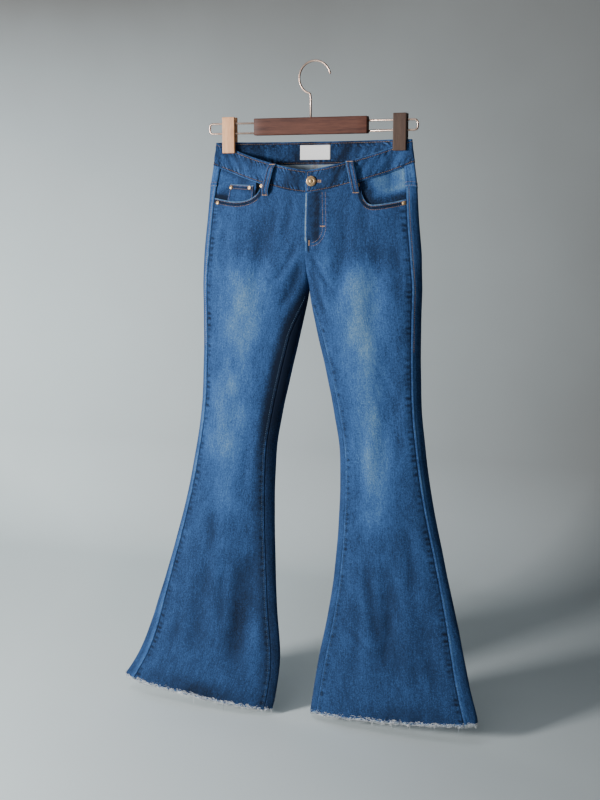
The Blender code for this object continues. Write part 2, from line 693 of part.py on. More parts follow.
def make_fringes(collection):
    """The frayed hems: a narrow strip just below each panel's edge, with tapered strands fused to it."""
    strands, strip, thickness = 50, 0.0030, 0.0010
    chance = np.random.default_rng(7)
    for side, word in SIDES:
        rings = [hem_ring(side, 2 * strands, SEAM_GAP / 2), hem_ring(side, 2 * strands, strip)]
        name = f"fringe_{word}"
        shape = bmesh.new()
        shape.from_mesh(grid_mesh(name, np.array(rings)))
        bmesh.ops.remove_doubles(shape, verts=shape.verts, dist=0.00001)
        bmesh.ops.recalc_face_normals(shape, faces=shape.faces)
        bmesh.ops.solidify(shape, geom=shape.faces, thickness=thickness)
        shape.normal_update()
        under = [face for face in shape.faces if face.normal.z < -0.8]
        middle = sum((face.calc_center_median() for face in under), Vector()) / len(under)
        under.sort(key=lambda face: math.atan2(*(face.calc_center_median() - middle).xy))
        made = bmesh.ops.poke(shape, faces=under[::2])
        for vertex in made["verts"]:
            vertex.co.z -= chance.uniform(0.0030, 0.0060)
            vertex.co.x += chance.uniform(-0.002, 0.002)
            vertex.co.y += chance.uniform(-0.0010, 0.0010)
        mesh = bpy.data.meshes.new(name)
        shape.to_mesh(mesh)
        shape.free()
        place(name, mesh, FRAY, collection)


def wire(name, points, collection):
    """A round wire along a line of points."""
    path = bpy.data.curves.new(name, "CURVE")
    path.dimensions = "3D"
    path.bevel_depth = WIRE / 2
    path.bevel_resolution = 2
    path.use_fill_caps = True
    spline = path.splines.new("POLY")
    spline.points.add(len(points) - 1)
    for target, point in zip(spline.points, points):
        target.co = (*point, 1)
    obj = bpy.data.objects.new(name, path)
    path.materials.append(material(name, ROSE_METAL))
    collection.objects.link(obj)
    return obj


def make_hook(collection):
    """A straight stem out of the bar, a bend to one side, and an open circle whose inner top is the origin."""
    centre = -(HOOK_RADIUS - WIRE / 2)
    start, end = math.radians(218), math.radians(12)
    foot = (HANGER_X, BAR_Z + BAR_SIZE[2] / 2 - 0.010)
    neck = np.array([HANGER_X, -0.064])
    join = np.array([math.cos(start), math.sin(start)]) * HOOK_RADIUS + (0, centre)
    heading = np.array([math.sin(start), -math.cos(start)])
    t = np.linspace(0, 1, 8)[:, None]
    reach = 0.018
    one, two = neck + (0, reach), join - heading * reach
    bend = (1 - t) ** 3 * neck + 3 * t * (1 - t) ** 2 * one + 3 * t**2 * (1 - t) * two + t**3 * join
    angles = np.linspace(start, end, 22)[1:]
    circle = np.stack([np.cos(angles), np.sin(angles)], axis=1) * HOOK_RADIUS + (0, centre)
    path = np.concatenate([[foot], bend, circle])
    wire("hook", [(x, 0, z) for x, z in path], collection)


def make_rail(collection):
    """Two wire loops, one each side of the bar, their ends set in the bar's ends."""
    bend = 0.0060
    for side, word in SIDES:
        inside = BAR_SIZE[0] / 2 - 0.015
        outside = RAIL_HALF - WIRE / 2 - bend
        corner = np.linspace(0, math.pi / 2, 5)
        upper = [(outside + bend * math.sin(a), RAIL_PITCH / 2 - bend + bend * math.cos(a)) for a in corner]
        lower = [(across, -height) for across, height in reversed(upper)]
        path = [(inside, RAIL_PITCH / 2), *upper, *lower, (inside, -RAIL_PITCH / 2)]
        points = [(HANGER_X + side * across, 0, RAIL_Z + height) for across, height in path]
        wire(f"rail_{word}", points, collection)


def block(name, size, location, bevel, look, collection):
    """A box with rounded edges."""
    shape = bmesh.new()
    bmesh.ops.create_cube(shape, size=1)
    bmesh.ops.scale(shape, vec=size, verts=shape.verts)
    mesh = bpy.data.meshes.new(name)
    shape.to_mesh(mesh)
    shape.free()
    obj = place(name, mesh, look, collection, math.radians(40))
    obj.location = location
    rounded = obj.modifiers.new("Rounded", "BEVEL")
    rounded.width = bevel
    rounded.segments = 1
    return obj


def drill(obj, radius, depth, location, axis):
    """Cuts a round hole, centred at the location, out of an object."""
    turn = {"X": (0, math.pi / 2, 0), "Z": (0, 0, 0)}[axis]
    bpy.ops.mesh.primitive_cylinder_add(
        vertices=12, radius=radius, depth=depth, location=location, rotation=turn
    )
    cutter = bpy.context.object
    cutter.name = f"{obj.name}_hole_{len(obj.modifiers)}"
    hide_cutter(cutter)
    cut = obj.modifiers.new("Hole", "BOOLEAN")
    cut.operation = "DIFFERENCE"
    cut.object = cutter


def make_bar(collection):
    """The wooden bar, drilled for the hook and for the four ends of the rail's wires."""
    bar = block("bar", BAR_SIZE, (HANGER_X, 0, BAR_Z), 0.0012, DARK_WOOD, collection)
    top = BAR_Z + BAR_SIZE[2] / 2
    drill(bar, WIRE / 2 + FIT, 0.0206, (HANGER_X, 0, top), "Z")
    for side in (RIGHT, LEFT):
        for height in (RAIL_Z + RAIL_PITCH / 2, RAIL_Z - RAIL_PITCH / 2):
            end = (HANGER_X + side * BAR_SIZE[0] / 2, 0, height)
            drill(bar, WIRE / 2 + FIT, 0.0306, end, "X")


def make_clips(collection):
    """Two clips: a metal slide that rides on the wires, between two wooden jaws that hold the waistband."""
    slot = 2 * PINCHED_HALF + BAND + 2 * FIT
    width, thickness, height = JAW_SIZE
    for side, word in SIDES:
        x = CLIP_X + side * CLIP_REACH
        for sign, place_word in ((-1, "front"), (1, "back")):
            centre = (x, sign * (slot + thickness) / 2, JAW_TOP - height / 2)
            block(f"clip_{word}_{place_word}_jaw", JAW_SIZE, centre, 0.0009, CLIP_WOOD, collection)
        size = (0.015, slot - 2 * FIT, 0.030)
        slide = block(f"clip_{word}_slide", size, (x, 0, RAIL_Z), 0.0004, ROSE_METAL, collection)
        for end in (RAIL_Z + RAIL_PITCH / 2, RAIL_Z - RAIL_PITCH / 2):
            drill(slide, WIRE / 2 + FIT, 0.03, (x, 0, end), "X")


def main():
    for obj in list(bpy.data.objects):
        bpy.data.objects.remove(obj)
    scene = bpy.context.scene.collection
    parts = bpy.data.collections.new("flared_jeans_on_hanger")
    cutters = bpy.data.collections.new("cutters")
    for collection in (parts, cutters):
        scene.children.link(collection)
    backs = make_panels(parts)
    make_yokes(parts)
    make_waistband(parts)
    make_fly(parts)
    coin = make_pockets(parts, backs)
    make_belt_loops(parts)
    make_label(parts)
    make_button(parts)
    make_rivets(parts, coin)
    make_fringes(parts)
    make_hook(parts)
    make_rail(parts)
    make_bar(parts)
    make_clips(parts)


main()
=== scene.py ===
"""The looks of the flared jeans on their clip hanger.

Metres, +Z up, the front facing -Y, the origin at the highest point inside the hook. Every cloth piece is a
fine grid on the same formula as its solid: a flattened ring above the crotch, an oval round each leg below
it. Creases, seams and puckers are then raised from that grid along its normals, the grid gets the cloth's
thickness with a rounded edge, and the sewing is real thread laid on it.
"""

import math
from collections import namedtuple

import bmesh
import bpy
import numpy as np
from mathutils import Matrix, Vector


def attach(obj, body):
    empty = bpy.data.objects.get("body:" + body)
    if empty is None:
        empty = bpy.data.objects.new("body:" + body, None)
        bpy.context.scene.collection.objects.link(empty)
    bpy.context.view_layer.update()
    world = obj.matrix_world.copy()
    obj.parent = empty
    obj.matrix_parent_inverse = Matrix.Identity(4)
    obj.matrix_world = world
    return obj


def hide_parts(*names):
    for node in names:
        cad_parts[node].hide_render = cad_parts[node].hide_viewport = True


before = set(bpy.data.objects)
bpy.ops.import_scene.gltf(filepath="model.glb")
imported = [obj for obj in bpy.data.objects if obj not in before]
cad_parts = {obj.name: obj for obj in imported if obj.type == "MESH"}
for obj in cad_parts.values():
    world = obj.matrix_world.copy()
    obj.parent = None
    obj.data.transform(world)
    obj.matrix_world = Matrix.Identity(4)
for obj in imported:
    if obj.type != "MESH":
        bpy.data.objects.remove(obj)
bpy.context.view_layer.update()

RIGHT, LEFT = -1, 1
FRONT, BACK = 1, -1
SIDES = ((RIGHT, "right"), (LEFT, "left"))

# Cloth and its layers
CLOTH = 0.0012
BAND = 0.0024
SEAM_GAP = 0.0003
LAYER_GAP = 0.0005

# Heights below the hook
BAND_TOP = -0.136
BAND_HEIGHT = 0.039
FRONT_DIP = 0.051
DIP_POWER = 1.36
BLEND_TOP = -0.330
CROTCH = -0.397
HEM_OUTER = {RIGHT: -1.170, LEFT: -1.159}
HEM_INNER = -1.186

# Seams, folds and depth
HIP_SEAM_INSET = {RIGHT: 0.0135, LEFT: 0.0180}
SEAM_INSET = 0.0135
HEM_SEAM_INSET = 0.024
INSEAM_INSET = 0.014
PINCH_REACH = 0.77
PINCH_POWER = 2.4
PINCH_END = -0.265
PINCHED_HALF = 0.00135
FOLD_RADIUS = 0.0022
HEM_TWIST = math.radians(3)
TWIST_TOP = -0.70
TWIST_END = -1.157

# Pitches of the puckers that the stitching draws up along each seam
OUTSEAM_PUCKER = 0.0085
INSEAM_PUCKER = 0.0078
BAND_PUCKER = 0.0085
FLY_PUCKER = 0.0090
YOKE_PUCKER = 0.0090

# Columns of the panels' grids, and their rows above and below the level of the pockets
FRONT_COLUMNS = 96
BACK_COLUMNS = 92
FRONT_ROWS = (26, 214)
BACK_ROWS = (12, 190)
POCKET_LEVEL = -0.265
STITCHED_ROWS = 62
MARKS_END = -0.325

# Pitches of the stitching, and the distances of its rows from an edge
STITCH = 0.0034
LONG_STITCH = 0.0036
BAND_STITCH = 0.0033
FLY_STITCH = 0.0032
LOOP_STITCH = 0.0030
LABEL_STITCH = 0.0028
BAND_ROW = 0.0030
LONG_ROW = 0.0060
BACK_POCKET_ROWS = (0.0018, 0.0075)
POCKET_ROWS = (0.0020, 0.0080)

# Fly, button, loops, pockets, yoke and label
FLY_END = -0.300
FLY_LIFT = 0.0010
FLY_SHIELD = (-0.024, 0.038)
FLY_ROWS = (0.0, -0.0058)
FLY_TACKS = (((0.0021, -0.3085), (0.0021, -0.3175)), ((0.0215, -0.2835), (0.0305, -0.2835)))
UNDERLAP_DROP = 0.0030
UNDERLAP = -0.21
BUTTON_X = 0.010
BUTTON_RADIUS = 0.0092
LOOP_WIDTH = 0.012
LOOP_LENGTH = 0.055
LOOP_BOW = 0.0062
LOOP_THICKNESS = 0.0016
SCOOP_POWER = 2.3
FACING_BELOW = 0.026
FACING_DEPTH = 0.0018
COIN_TOP = -0.2090
BACK_POCKET = (0.145, 0.150)
BACK_POCKET_X = 0.098
BACK_POCKET_TOP = -0.262
YOKE_SIDE = 0.034
YOKE_DROP = 0.038
LABEL = (0.056, 0.025, 0.0010)
LABEL_TOP = -0.1415

# Hanger
HANGER_X = -0.0075
WIRE = 0.0036
HOOK_RADIUS = 0.0287
RAIL_Z = -0.111
RAIL_HALF = 0.195
RAIL_PITCH = 0.0175
BAR_SIZE = (0.210, 0.016, 0.0295)
BAR_Z = -0.1093
CLIP_X = -0.0030
CLIP_REACH = 0.1585
GRIPPED = 0.017
UNPUCKERED = 0.021
JAW_SIZE = (0.0235, 0.0062, 0.0635)
SLIDE_SIZE = (0.015, 0.030)
JAW_TOP = -0.0910
FIT = 0.0003

# The studio: floor level, where the wall stands, and the radius that joins them
FLOOR = -1.200
WALL = 1.15
COVE = 0.45
STAGE_HALF = 3.4
STAGE_NEAR = -2.6
WALL_TOP = 2.2
CAMERA_PLACE = (0.622, -1.919, -0.245)
CAMERA_HEADING = math.radians(18.7)
CAMERA_PITCH = math.radians(10.0)
CAMERA_LENS = 50.04

Light = namedtuple("Light", "name power size place aim colour")
LIGHTS = (
    Light("key", 106, 0.5, (-1.72, -2.10, -0.10), (0.0, 0, -0.7), (1.0, 0.99, 0.97)),
    Light("top", 14, 1.4, (-0.4, -1.2, 1.5), (0.0, 0, -0.6), (0.94, 0.97, 1.0)),
    Light("behind", 5, 0.8, (-1.75, 0.85, 0.55), (0.0, 0, -0.65), (0.96, 0.98, 1.0)),
)

Torso = namedtuple("Torso", "z half front back")
TORSO = (
    Torso(-0.136, 0.1815, 0.0240, 0.0220),
    Torso(-0.175, 0.1870, 0.0245, 0.0230),
    Torso(-0.207, 0.1920, 0.0250, 0.0260),
    Torso(-0.242, 0.1955, 0.0260, 0.0300),
    Torso(-0.282, 0.1990, 0.0280, 0.0330),
    Torso(-0.332, 0.2040, 0.0300, 0.0340),
    Torso(-0.372, 0.2060, 0.0310, 0.0340),
    Torso(-0.410, 0.2060, 0.0320, 0.0330),
)

Leg = namedtuple("Leg", "z outer inner depth")
LEG = (
    Leg(-0.330, 0.2040, 0.0013, 0.0320),
    Leg(-0.397, 0.2060, 0.0013, 0.0330),
    Leg(-0.452, 0.2055, 0.0115, 0.0330),
    Leg(-0.532, 0.2060, 0.0310, 0.0320),
    Leg(-0.617, 0.2105, 0.0500, 0.0300),
    Leg(-0.682, 0.2190, 0.0610, 0.0300),
    Leg(-0.742, 0.2290, 0.0635, 0.0300),
    Leg(-0.862, 0.2570, 0.0605, 0.0280),
    Leg(-0.982, 0.2910, 0.0505, 0.0260),
    Leg(-1.102, 0.3270, 0.0350, 0.0230),
    Leg(-1.200, 0.3700, 0.0350, 0.0220),
)

Lean = namedtuple("Lean", "z centre forward")
LEAN = (
    Lean(-0.136, -0.0060, 0.0000),
    Lean(-0.160, -0.0062, 0.0000),
    Lean(-0.280, -0.0064, 0.0060),
    Lean(-0.400, -0.0046, 0.0140),
    Lean(-0.680, -0.0014, 0.0300),
    Lean(-0.980, -0.0056, 0.0480),
    Lean(-1.100, -0.0122, 0.0550),
    Lean(-1.200, -0.0262, 0.0600),
)

Pocket = namedtuple("Pocket", "start start_z low low_z end_z gape")
POCKETS = {
    RIGHT: Pocket(0.0870, -0.2065, 0.138, -0.2415, -0.2350, 0.0000),
    LEFT: Pocket(0.0985, -0.2025, 0.122, -0.2470, -0.2370, 0.0012),
}

# How worn and how shaded each facing is, and how far into it the scoop's shadow reaches
Facing = namedtuple("Facing", "wear shade reach")
FACINGS = {RIGHT: Facing(0.14, 0.30, 0.012), LEFT: Facing(0.46, 0.0, 0.026)}

BeltLoop = namedtuple("BeltLoop", "name face top_across bottom_across")
BELT_LOOPS = (
    BeltLoop("belt_loop_front_right", FRONT, -0.0635, -0.0775),
    BeltLoop("belt_loop_front_left", FRONT, 0.0770, 0.0905),
    BeltLoop("belt_loop_back_right", BACK, -0.0950, -0.0960),
    BeltLoop("belt_loop_back_left", BACK, 0.0950, 0.0960),
    BeltLoop("belt_loop_centre", BACK, 0.0, 0.0),
)

Rivet = namedtuple("Rivet", "name side across z on_coin")
RIVETS = (
    Rivet("rivet_right_inner", RIGHT, 0.0855, -0.2130, False),
    Rivet("rivet_right_outer", RIGHT, 0.1745, -0.2425, False),
    Rivet("rivet_left_inner", LEFT, 0.0925, -0.2130, False),
    Rivet("rivet_left_outer", LEFT, 0.1735, -0.2435, False),
    Rivet("rivet_coin_inner", RIGHT, 0.1110, -0.2160, True),
    Rivet("rivet_coin_outer", RIGHT, 0.1510, -0.2155, True),
)

# The large folds of the solids: a trough from its top to its bottom
Fold = namedtuple("Fold", "face top_x top_z bottom_x bottom_z width depth")
FOLDS = (
    Fold(FRONT, -0.078, -0.240, -0.105, -0.440, 0.017, 0.0045),
    Fold(FRONT, 0.072, -0.240, 0.052, -0.440, 0.015, 0.0040),
    Fold(FRONT, 0.122, -0.270, 0.128, -0.520, 0.020, 0.0050),
    Fold(FRONT, 0.150, -0.420, 0.150, -0.760, 0.022, 0.0045),
    Fold(FRONT, -0.085, -0.840, -0.110, -1.100, 0.020, 0.0060),
    Fold(FRONT, -0.190, -0.900, -0.225, -1.120, 0.026, 0.0035),
    Fold(FRONT, 0.150, -0.860, 0.180, -1.120, 0.022, 0.0055),
    Fold(FRONT, 0.215, -0.930, 0.262, -1.130, 0.018, 0.0040),
    Fold(BACK, -0.095, -0.330, -0.085, -0.520, 0.022, 0.0050),
    Fold(BACK, 0.090, -0.340, 0.100, -0.540, 0.020, 0.0045),
    Fold(BACK, -0.150, -0.860, -0.190, -1.120, 0.026, 0.0060),
    Fold(BACK, 0.165, -0.880, 0.215, -1.110, 0.024, 0.0055),
)

# Small creases on top of them. A bow bends the crease sideways, a negative depth makes a ridge.
Crease = namedtuple("Crease", "face top_x top_z bottom_x bottom_z bow width depth")
CREASES = (
    Crease(FRONT, -0.060, -0.235, -0.085, -0.330, 0.004, 0.009, 0.0016),
    Crease(FRONT, -0.030, -0.225, -0.048, -0.330, -0.003, 0.008, 0.0012),
    Crease(FRONT, 0.045, -0.235, 0.040, -0.345, 0.004, 0.008, 0.0016),
    Crease(FRONT, 0.062, -0.225, 0.070, -0.330, -0.004, 0.007, 0.0013),
    Crease(FRONT, 0.098, -0.225, 0.104, -0.300, 0.002, 0.008, 0.0014),
    Crease(FRONT, -0.018, -0.305, -0.075, -0.395, 0.006, 0.007, 0.0018),
    Crease(FRONT, -0.012, -0.335, -0.060, -0.440, 0.008, 0.008, 0.0020),
    Crease(FRONT, 0.006, -0.325, 0.048, -0.400, -0.006, 0.006, 0.0017),
    Crease(FRONT, 0.004, -0.350, 0.040, -0.450, -0.006, 0.007, 0.0020),
    Crease(FRONT, 0.150, -0.300, 0.165, -0.420, 0.004, 0.010, 0.0016),
    Crease(FRONT, -0.165, -0.270, -0.160, -0.390, -0.004, 0.009, 0.0012),
    Crease(FRONT, -0.120, -0.560, -0.165, -0.700, 0.006, 0.011, 0.0014),
    Crease(FRONT, -0.100, -0.620, -0.118, -0.800, -0.004, 0.009, 0.0014),
    Crease(FRONT, 0.105, -0.600, 0.100, -0.790, 0.005, 0.010, 0.0016),
    Crease(FRONT, 0.168, -0.560, 0.180, -0.700, -0.004, 0.010, 0.0014),
    Crease(FRONT, -0.175, -0.780, -0.205, -0.990, 0.006, 0.012, 0.0015),
    Crease(FRONT, -0.110, -0.870, -0.134, -1.145, -0.005, 0.018, 0.0052),
    Crease(FRONT, -0.150, -0.900, -0.162, -1.060, -0.004, 0.009, 0.0013),
    Crease(FRONT, -0.245, -0.980, -0.270, -1.100, 0.004, 0.010, 0.0012),
    Crease(FRONT, 0.100, -0.900, 0.098, -1.120, 0.006, 0.010, 0.0013),
    Crease(FRONT, 0.120, -0.850, 0.152, -1.050, -0.006, 0.010, 0.0021),
    Crease(FRONT, 0.078, -0.985, 0.150, -1.060, -0.014, 0.010, 0.0014),
    Crease(FRONT, 0.165, -0.960, 0.150, -1.080, 0.004, 0.009, 0.0016),
    Crease(FRONT, 0.190, -0.790, 0.205, -0.960, 0.005, 0.010, 0.0017),
    Crease(FRONT, 0.215, -1.000, 0.225, -1.130, -0.005, 0.011, 0.0015),
    Crease(BACK, -0.020, -0.330, -0.070, -0.450, 0.008, 0.008, 0.0020),
    Crease(BACK, 0.020, -0.335, 0.075, -0.445, -0.008, 0.008, 0.0020),
    Crease(BACK, -0.150, -0.420, -0.140, -0.600, 0.006, 0.012, 0.0016),
    Crease(BACK, 0.145, -0.430, 0.150, -0.620, -0.006, 0.011, 0.0016),
    Crease(BACK, -0.110, -0.560, -0.130, -0.740, -0.005, 0.009, 0.0018),
    Crease(BACK, 0.115, -0.580, 0.135, -0.750, 0.005, 0.010, 0.0017),
    Crease(BACK, -0.085, -0.700, -0.180, -0.690, 0.010, 0.008, 0.0012),
    Crease(BACK, 0.085, -0.715, 0.185, -0.700, 0.010, 0.008, 0.0012),
    Crease(BACK, -0.200, -0.880, -0.240, -1.080, 0.006, 0.012, 0.0015),
    Crease(BACK, -0.105, -0.900, -0.110, -1.110, -0.006, 0.010, 0.0014),
    Crease(BACK, 0.120, -0.860, 0.120, -1.090, 0.006, 0.010, 0.0014),
    Crease(BACK, 0.240, -0.930, 0.280, -1.100, -0.006, 0.011, 0.0014),
)

# Where the dye is worn pale: a soft stroke from its top to its bottom
Fade = namedtuple("Fade", "face top_x top_z bottom_x bottom_z width strength")
FADES = (
    Fade(FRONT, -0.114, -0.322, -0.130, -0.560, 0.048, 0.50),
    Fade(FRONT, -0.090, -0.325, -0.108, -0.450, 0.030, 0.20),
    Fade(FRONT, -0.136, -0.490, -0.162, -0.750, 0.044, 0.44),
    Fade(FRONT, -0.150, -0.640, -0.155, -0.850, 0.034, 0.22),
    Fade(FRONT, 0.092, -0.318, 0.116, -0.580, 0.046, 0.58),
    Fade(FRONT, 0.100, -0.328, 0.108, -0.450, 0.030, 0.22),
    Fade(FRONT, 0.118, -0.490, 0.134, -0.770, 0.042, 0.48),
    Fade(FRONT, 0.138, -0.640, 0.130, -0.860, 0.032, 0.30),
    Fade(FRONT, -0.165, -0.225, -0.178, -0.420, 0.022, 0.14),
    Fade(FRONT, 0.045, -0.250, 0.035, -0.380, 0.016, 0.16),
    Fade(BACK, -0.100, -0.290, -0.105, -0.470, 0.045, 0.45),
    Fade(BACK, 0.100, -0.290, 0.105, -0.470, 0.045, 0.45),
    Fade(BACK, -0.120, -0.450, -0.140, -0.800, 0.036, 0.32),
    Fade(BACK, 0.120, -0.450, 0.138, -0.800, 0.036, 0.32),
)


def smooth(t):
    """A ramp from 0 to 1 that starts and ends level: 3t^2 - 2t^3, with t held between 0 and 1."""
    t = np.clip(t, 0, 1)
    return t * t * (3 - 2 * t)


def bump(x, width):
    """A bell: 1 at x = 0 and 0.37 at a width away."""
    return np.exp(-((x / width) ** 2))


def unit(vectors):
    """The vectors at length 1."""
    return vectors / (np.linalg.norm(vectors, axis=-1, keepdims=True) + 1e-12)


def along(rows, column, z):
    """The column's value at height z, on a smooth cubic curve through the table's rows."""
    heights = np.array([row.z for row in rows])[::-1]
    values = np.array([getattr(row, column) for row in rows])[::-1]
    slopes = np.gradient(values, heights)
    z = np.clip(z, heights[0], heights[-1])
    i = np.clip(np.searchsorted(heights, z) - 1, 0, len(heights) - 2)
    step = heights[i + 1] - heights[i]
    t = (z - heights[i]) / step
    from_below = (1 + 2 * t) * values[i] + t * step * slopes[i]
    from_above = (3 - 2 * t) * values[i + 1] - (1 - t) * step * slopes[i + 1]
    return from_below * (1 - t) ** 2 + from_above * t**2


def seam_angle(half, inset):
    """The angle on an oval, from its outer end, at which a seam lies this far inside that end."""
    return np.arccos(1 - inset / half)


def torso_seam(side, z):
    """The torso's half width and the angle of its outseam."""
    half = along(TORSO, "half", z)
    return half, seam_angle(half, HIP_SEAM_INSET[side])


def torso_angle(face, u, seam):
    """The ring's angle at a fraction u: even steps across at the front, even turns at the back."""
    if face == FRONT:
        return np.arccos(np.asarray(u) * np.cos(seam))
    return np.asarray(u) * (math.pi / 2 + seam) - math.pi / 2


def torso_ring(side, face, u, z):
    """The torso's ring: distance from the centre line, depth behind it, and the sine of the ring's angle.

    Down to PINCH_END the ring is a pinched lens with a rounded fold at each side, thinner in the clips.
    """
    half, seam = torso_seam(side, z)
    angle = torso_angle(face, u, seam)
    sine = np.sin(angle)
    across = np.cos(angle)
    depth = np.where(sine > 0, along(TORSO, "front", z), along(TORSO, "back", z))
    lens = 1 - np.minimum(across / PINCH_REACH, 1) ** PINCH_POWER
    turn = np.clip((across - 1) * half / FOLD_RADIUS + 1, 0, 1)
    clip = CLIP_REACH + side * (CLIP_X - LEAN[0].centre)
    gripped = np.exp(-(((across * half - clip) / GRIPPED) ** 6))
    wall = FOLD_RADIUS * np.sqrt(1 - turn**2) - (FOLD_RADIUS - PINCHED_HALF) * gripped
    pinched = np.sign(sine) * (depth * lens + wall)
    pinch = smooth((z - PINCH_END) / (BAND_TOP - BAND_HEIGHT - PINCH_END))
    return half * across, -(pinch * pinched + (1 - pinch) * depth * sine), sine


def leg_ring(face, u, z):
    """A leg's oval, with both seams rolled to the front: as torso_ring gives it."""
    outer = along(LEG, "outer", z)
    inner = along(LEG, "inner", z)
    half = (outer - inner) / 2
    inset = SEAM_INSET + (HEM_SEAM_INSET - SEAM_INSET) * smooth((-0.85 - z) / 0.33)
    outseam = seam_angle(half, inset)
    inseam = math.pi - seam_angle(half, INSEAM_INSET * smooth((CROTCH - z) / 0.09))
    if face == FRONT:
        angle = np.arccos(np.cos(inseam) * (1 - u) + np.cos(outseam) * u)
    else:
        angle = (inseam - 2 * math.pi) * (1 - u) + outseam * u
    depth = along(LEG, "depth", z)
    return (outer + inner) / 2 + half * np.cos(angle), -depth * np.sin(angle), np.sin(angle)


def stroke(row, x, z, width):
    """A soft stroke from a table row's top to its bottom: 1 along its line, 0 past its ends."""
    t = (row.top_z - z) / (row.top_z - row.bottom_z)
    middle = row.top_x + (row.bottom_x - row.top_x) * t
    return smooth(t / 0.35) * smooth((1 - t) / 0.35) * bump(x - middle, width)


def fold_depth(face, x, z):
    """How far the folds of one face push the cloth in at (x, z)."""
    return sum(fold.depth * stroke(fold, x, z, fold.width) for fold in FOLDS if fold.face == face)


def form(side, face, u, z):
    """The middle of the wall as the solid has it: points, and the sine that is + in front and - behind."""
    u, z = np.broadcast_arrays(np.asarray(u, float), np.asarray(z, float))
    to_leg = smooth((BLEND_TOP - z) / (BLEND_TOP - CROTCH))
    torso = torso_ring(side, face, u, z)
    leg = leg_ring(face, u, z)
    out, y, sine = [t * (1 - to_leg) + l * to_leg for t, l in zip(torso, leg)]
    x = along(LEAN, "centre", z) + side * out
    y = y + fold_depth(FRONT, x, z) * np.maximum(sine, 0)
    y = y - fold_depth(BACK, x, z) * np.maximum(-sine, 0)
    if face == FRONT and side == LEFT:
        y = y - FLY_LIFT * bump(out, 0.012) * smooth((z - FLY_END) / 0.02)
    if face == FRONT:
        pocket = POCKETS[side]
        y = y - pocket.gape * bump(out - 0.128, 0.024) * bump(z - pocket.low_z, 0.022)
    leg_middle = along(LEG, "outer", z) / 2 + along(LEG, "inner", z) / 2
    twist = math.tan(HEM_TWIST) * smooth((TWIST_TOP - z) / (TWIST_TOP - TWIST_END))
    y = y - along(LEAN, "forward", z) - side * (out - leg_middle) * twist
    return np.stack([x, y, z], axis=-1), sine


def normals_of(points, reference):
    """Unit normals of a grid from its own slopes, turned to the side of the reference direction."""
    normal = unit(np.cross(np.gradient(points, axis=0), np.gradient(points, axis=1)))
    middle = normal[normal.shape[0] // 2, normal.shape[1] // 2]
    return normal * np.sign(middle @ np.asarray(reference, float))


def torso_u(side, face, across, z):
    """The fraction u at this distance from the torso's centre line."""
    half, seam = torso_seam(side, z)
    if face == FRONT:
        return across / (half * np.cos(seam))
    return (math.pi / 2 - np.arccos(across / half)) / (math.pi / 2 + seam)


def band_top(side, face, u):
    """The height of the waistband's upper edge: level at the back, dipping to the middle at the front."""
    angle = torso_angle(face, u, torso_seam(side, BAND_TOP)[1])
    return BAND_TOP - FRONT_DIP * (1 - np.cos(angle) ** DIP_POWER) * (angle > 0)


def waist_seam(side, face, u):
    """The waistband's lower edge."""
    return band_top(side, face, u) - BAND_HEIGHT


def pocket_edge(side, across):
    """The height of the pocket's scoop: a quarter of a rounded square, then a gentle rise to the outseam."""
    pocket = POCKETS[side]
    t = np.clip((pocket.low - across) / (pocket.low - pocket.start), 0, 1)
    drop = (pocket.start_z - pocket.low_z) * (1 - t**SCOOP_POWER) ** (1 / SCOOP_POWER)
    rise = np.clip((across - pocket.low) / (0.180 - pocket.low), 0, 1)
    return pocket.start_z - drop + (pocket.end_z - pocket.low_z) * rise**1.4


def front_top(side, u):
    """The front panel's upper edge: the waist seam, or the pocket's scoop from where it starts."""
    half, seam = torso_seam(side, POCKETS[side].low_z)
    across = u * half * np.cos(seam)
    edge = waist_seam(side, FRONT, u)
    return np.where(across < POCKETS[side].start, edge, np.minimum(edge, pocket_edge(side, across)))


def yoke_seam(side, u):
    """The yoke's lower edge: a V that is deepest at the centre back."""
    return np.minimum(BAND_TOP - BAND_HEIGHT, waist_seam(side, BACK, u)) - YOKE_SIDE - YOKE_DROP * (1 - u)


def hem(face, side, u):
    """The hem's height, tilted from the inseam up to the outseam."""
    x_here = form(side, face, u, HEM_INNER)[0][..., 0]
    inner = form(side, FRONT, 0.0, HEM_INNER)[0][0]
    outer = form(side, FRONT, 1.0, HEM_INNER)[0][0]
    return HEM_INNER + (HEM_OUTER[side] - HEM_INNER) * (x_here - inner) / (outer - inner)


def distance(points, side, face, u, z):
    """How far each point lies from the line of constant u at its own height: from a seam, near it."""
    return np.linalg.norm(points - form(side, face, u, z)[0], axis=-1)


def near_seams(side, face, z, points):
    """Distances from the outseam and from the inseam, and a 1 below the crotch that fades to 0 above it."""
    out = distance(points, side, face, np.ones_like(z), z)
    inner = distance(points, side, face, np.zeros_like(z), z)
    return out, inner, smooth((CROTCH + 0.02 - z) / 0.05)


def wobble(z, pitch, phase):
    """An irregular wave along a seam: a sine whose pitch and height drift, between -1 and 1."""
    drift = 1.7 * np.sin(z / (0.9 * pitch) * 1.1 + phase) + 1.3 * np.sin(z / (2.3 * pitch) + 2 * phase)
    height = 0.6 + 0.4 * np.sin(z / (1.6 * pitch) + 3 * phase) * np.sin(z / (3.7 * pitch) + phase)
    return height * np.sin(2 * math.pi * z / pitch + drift)


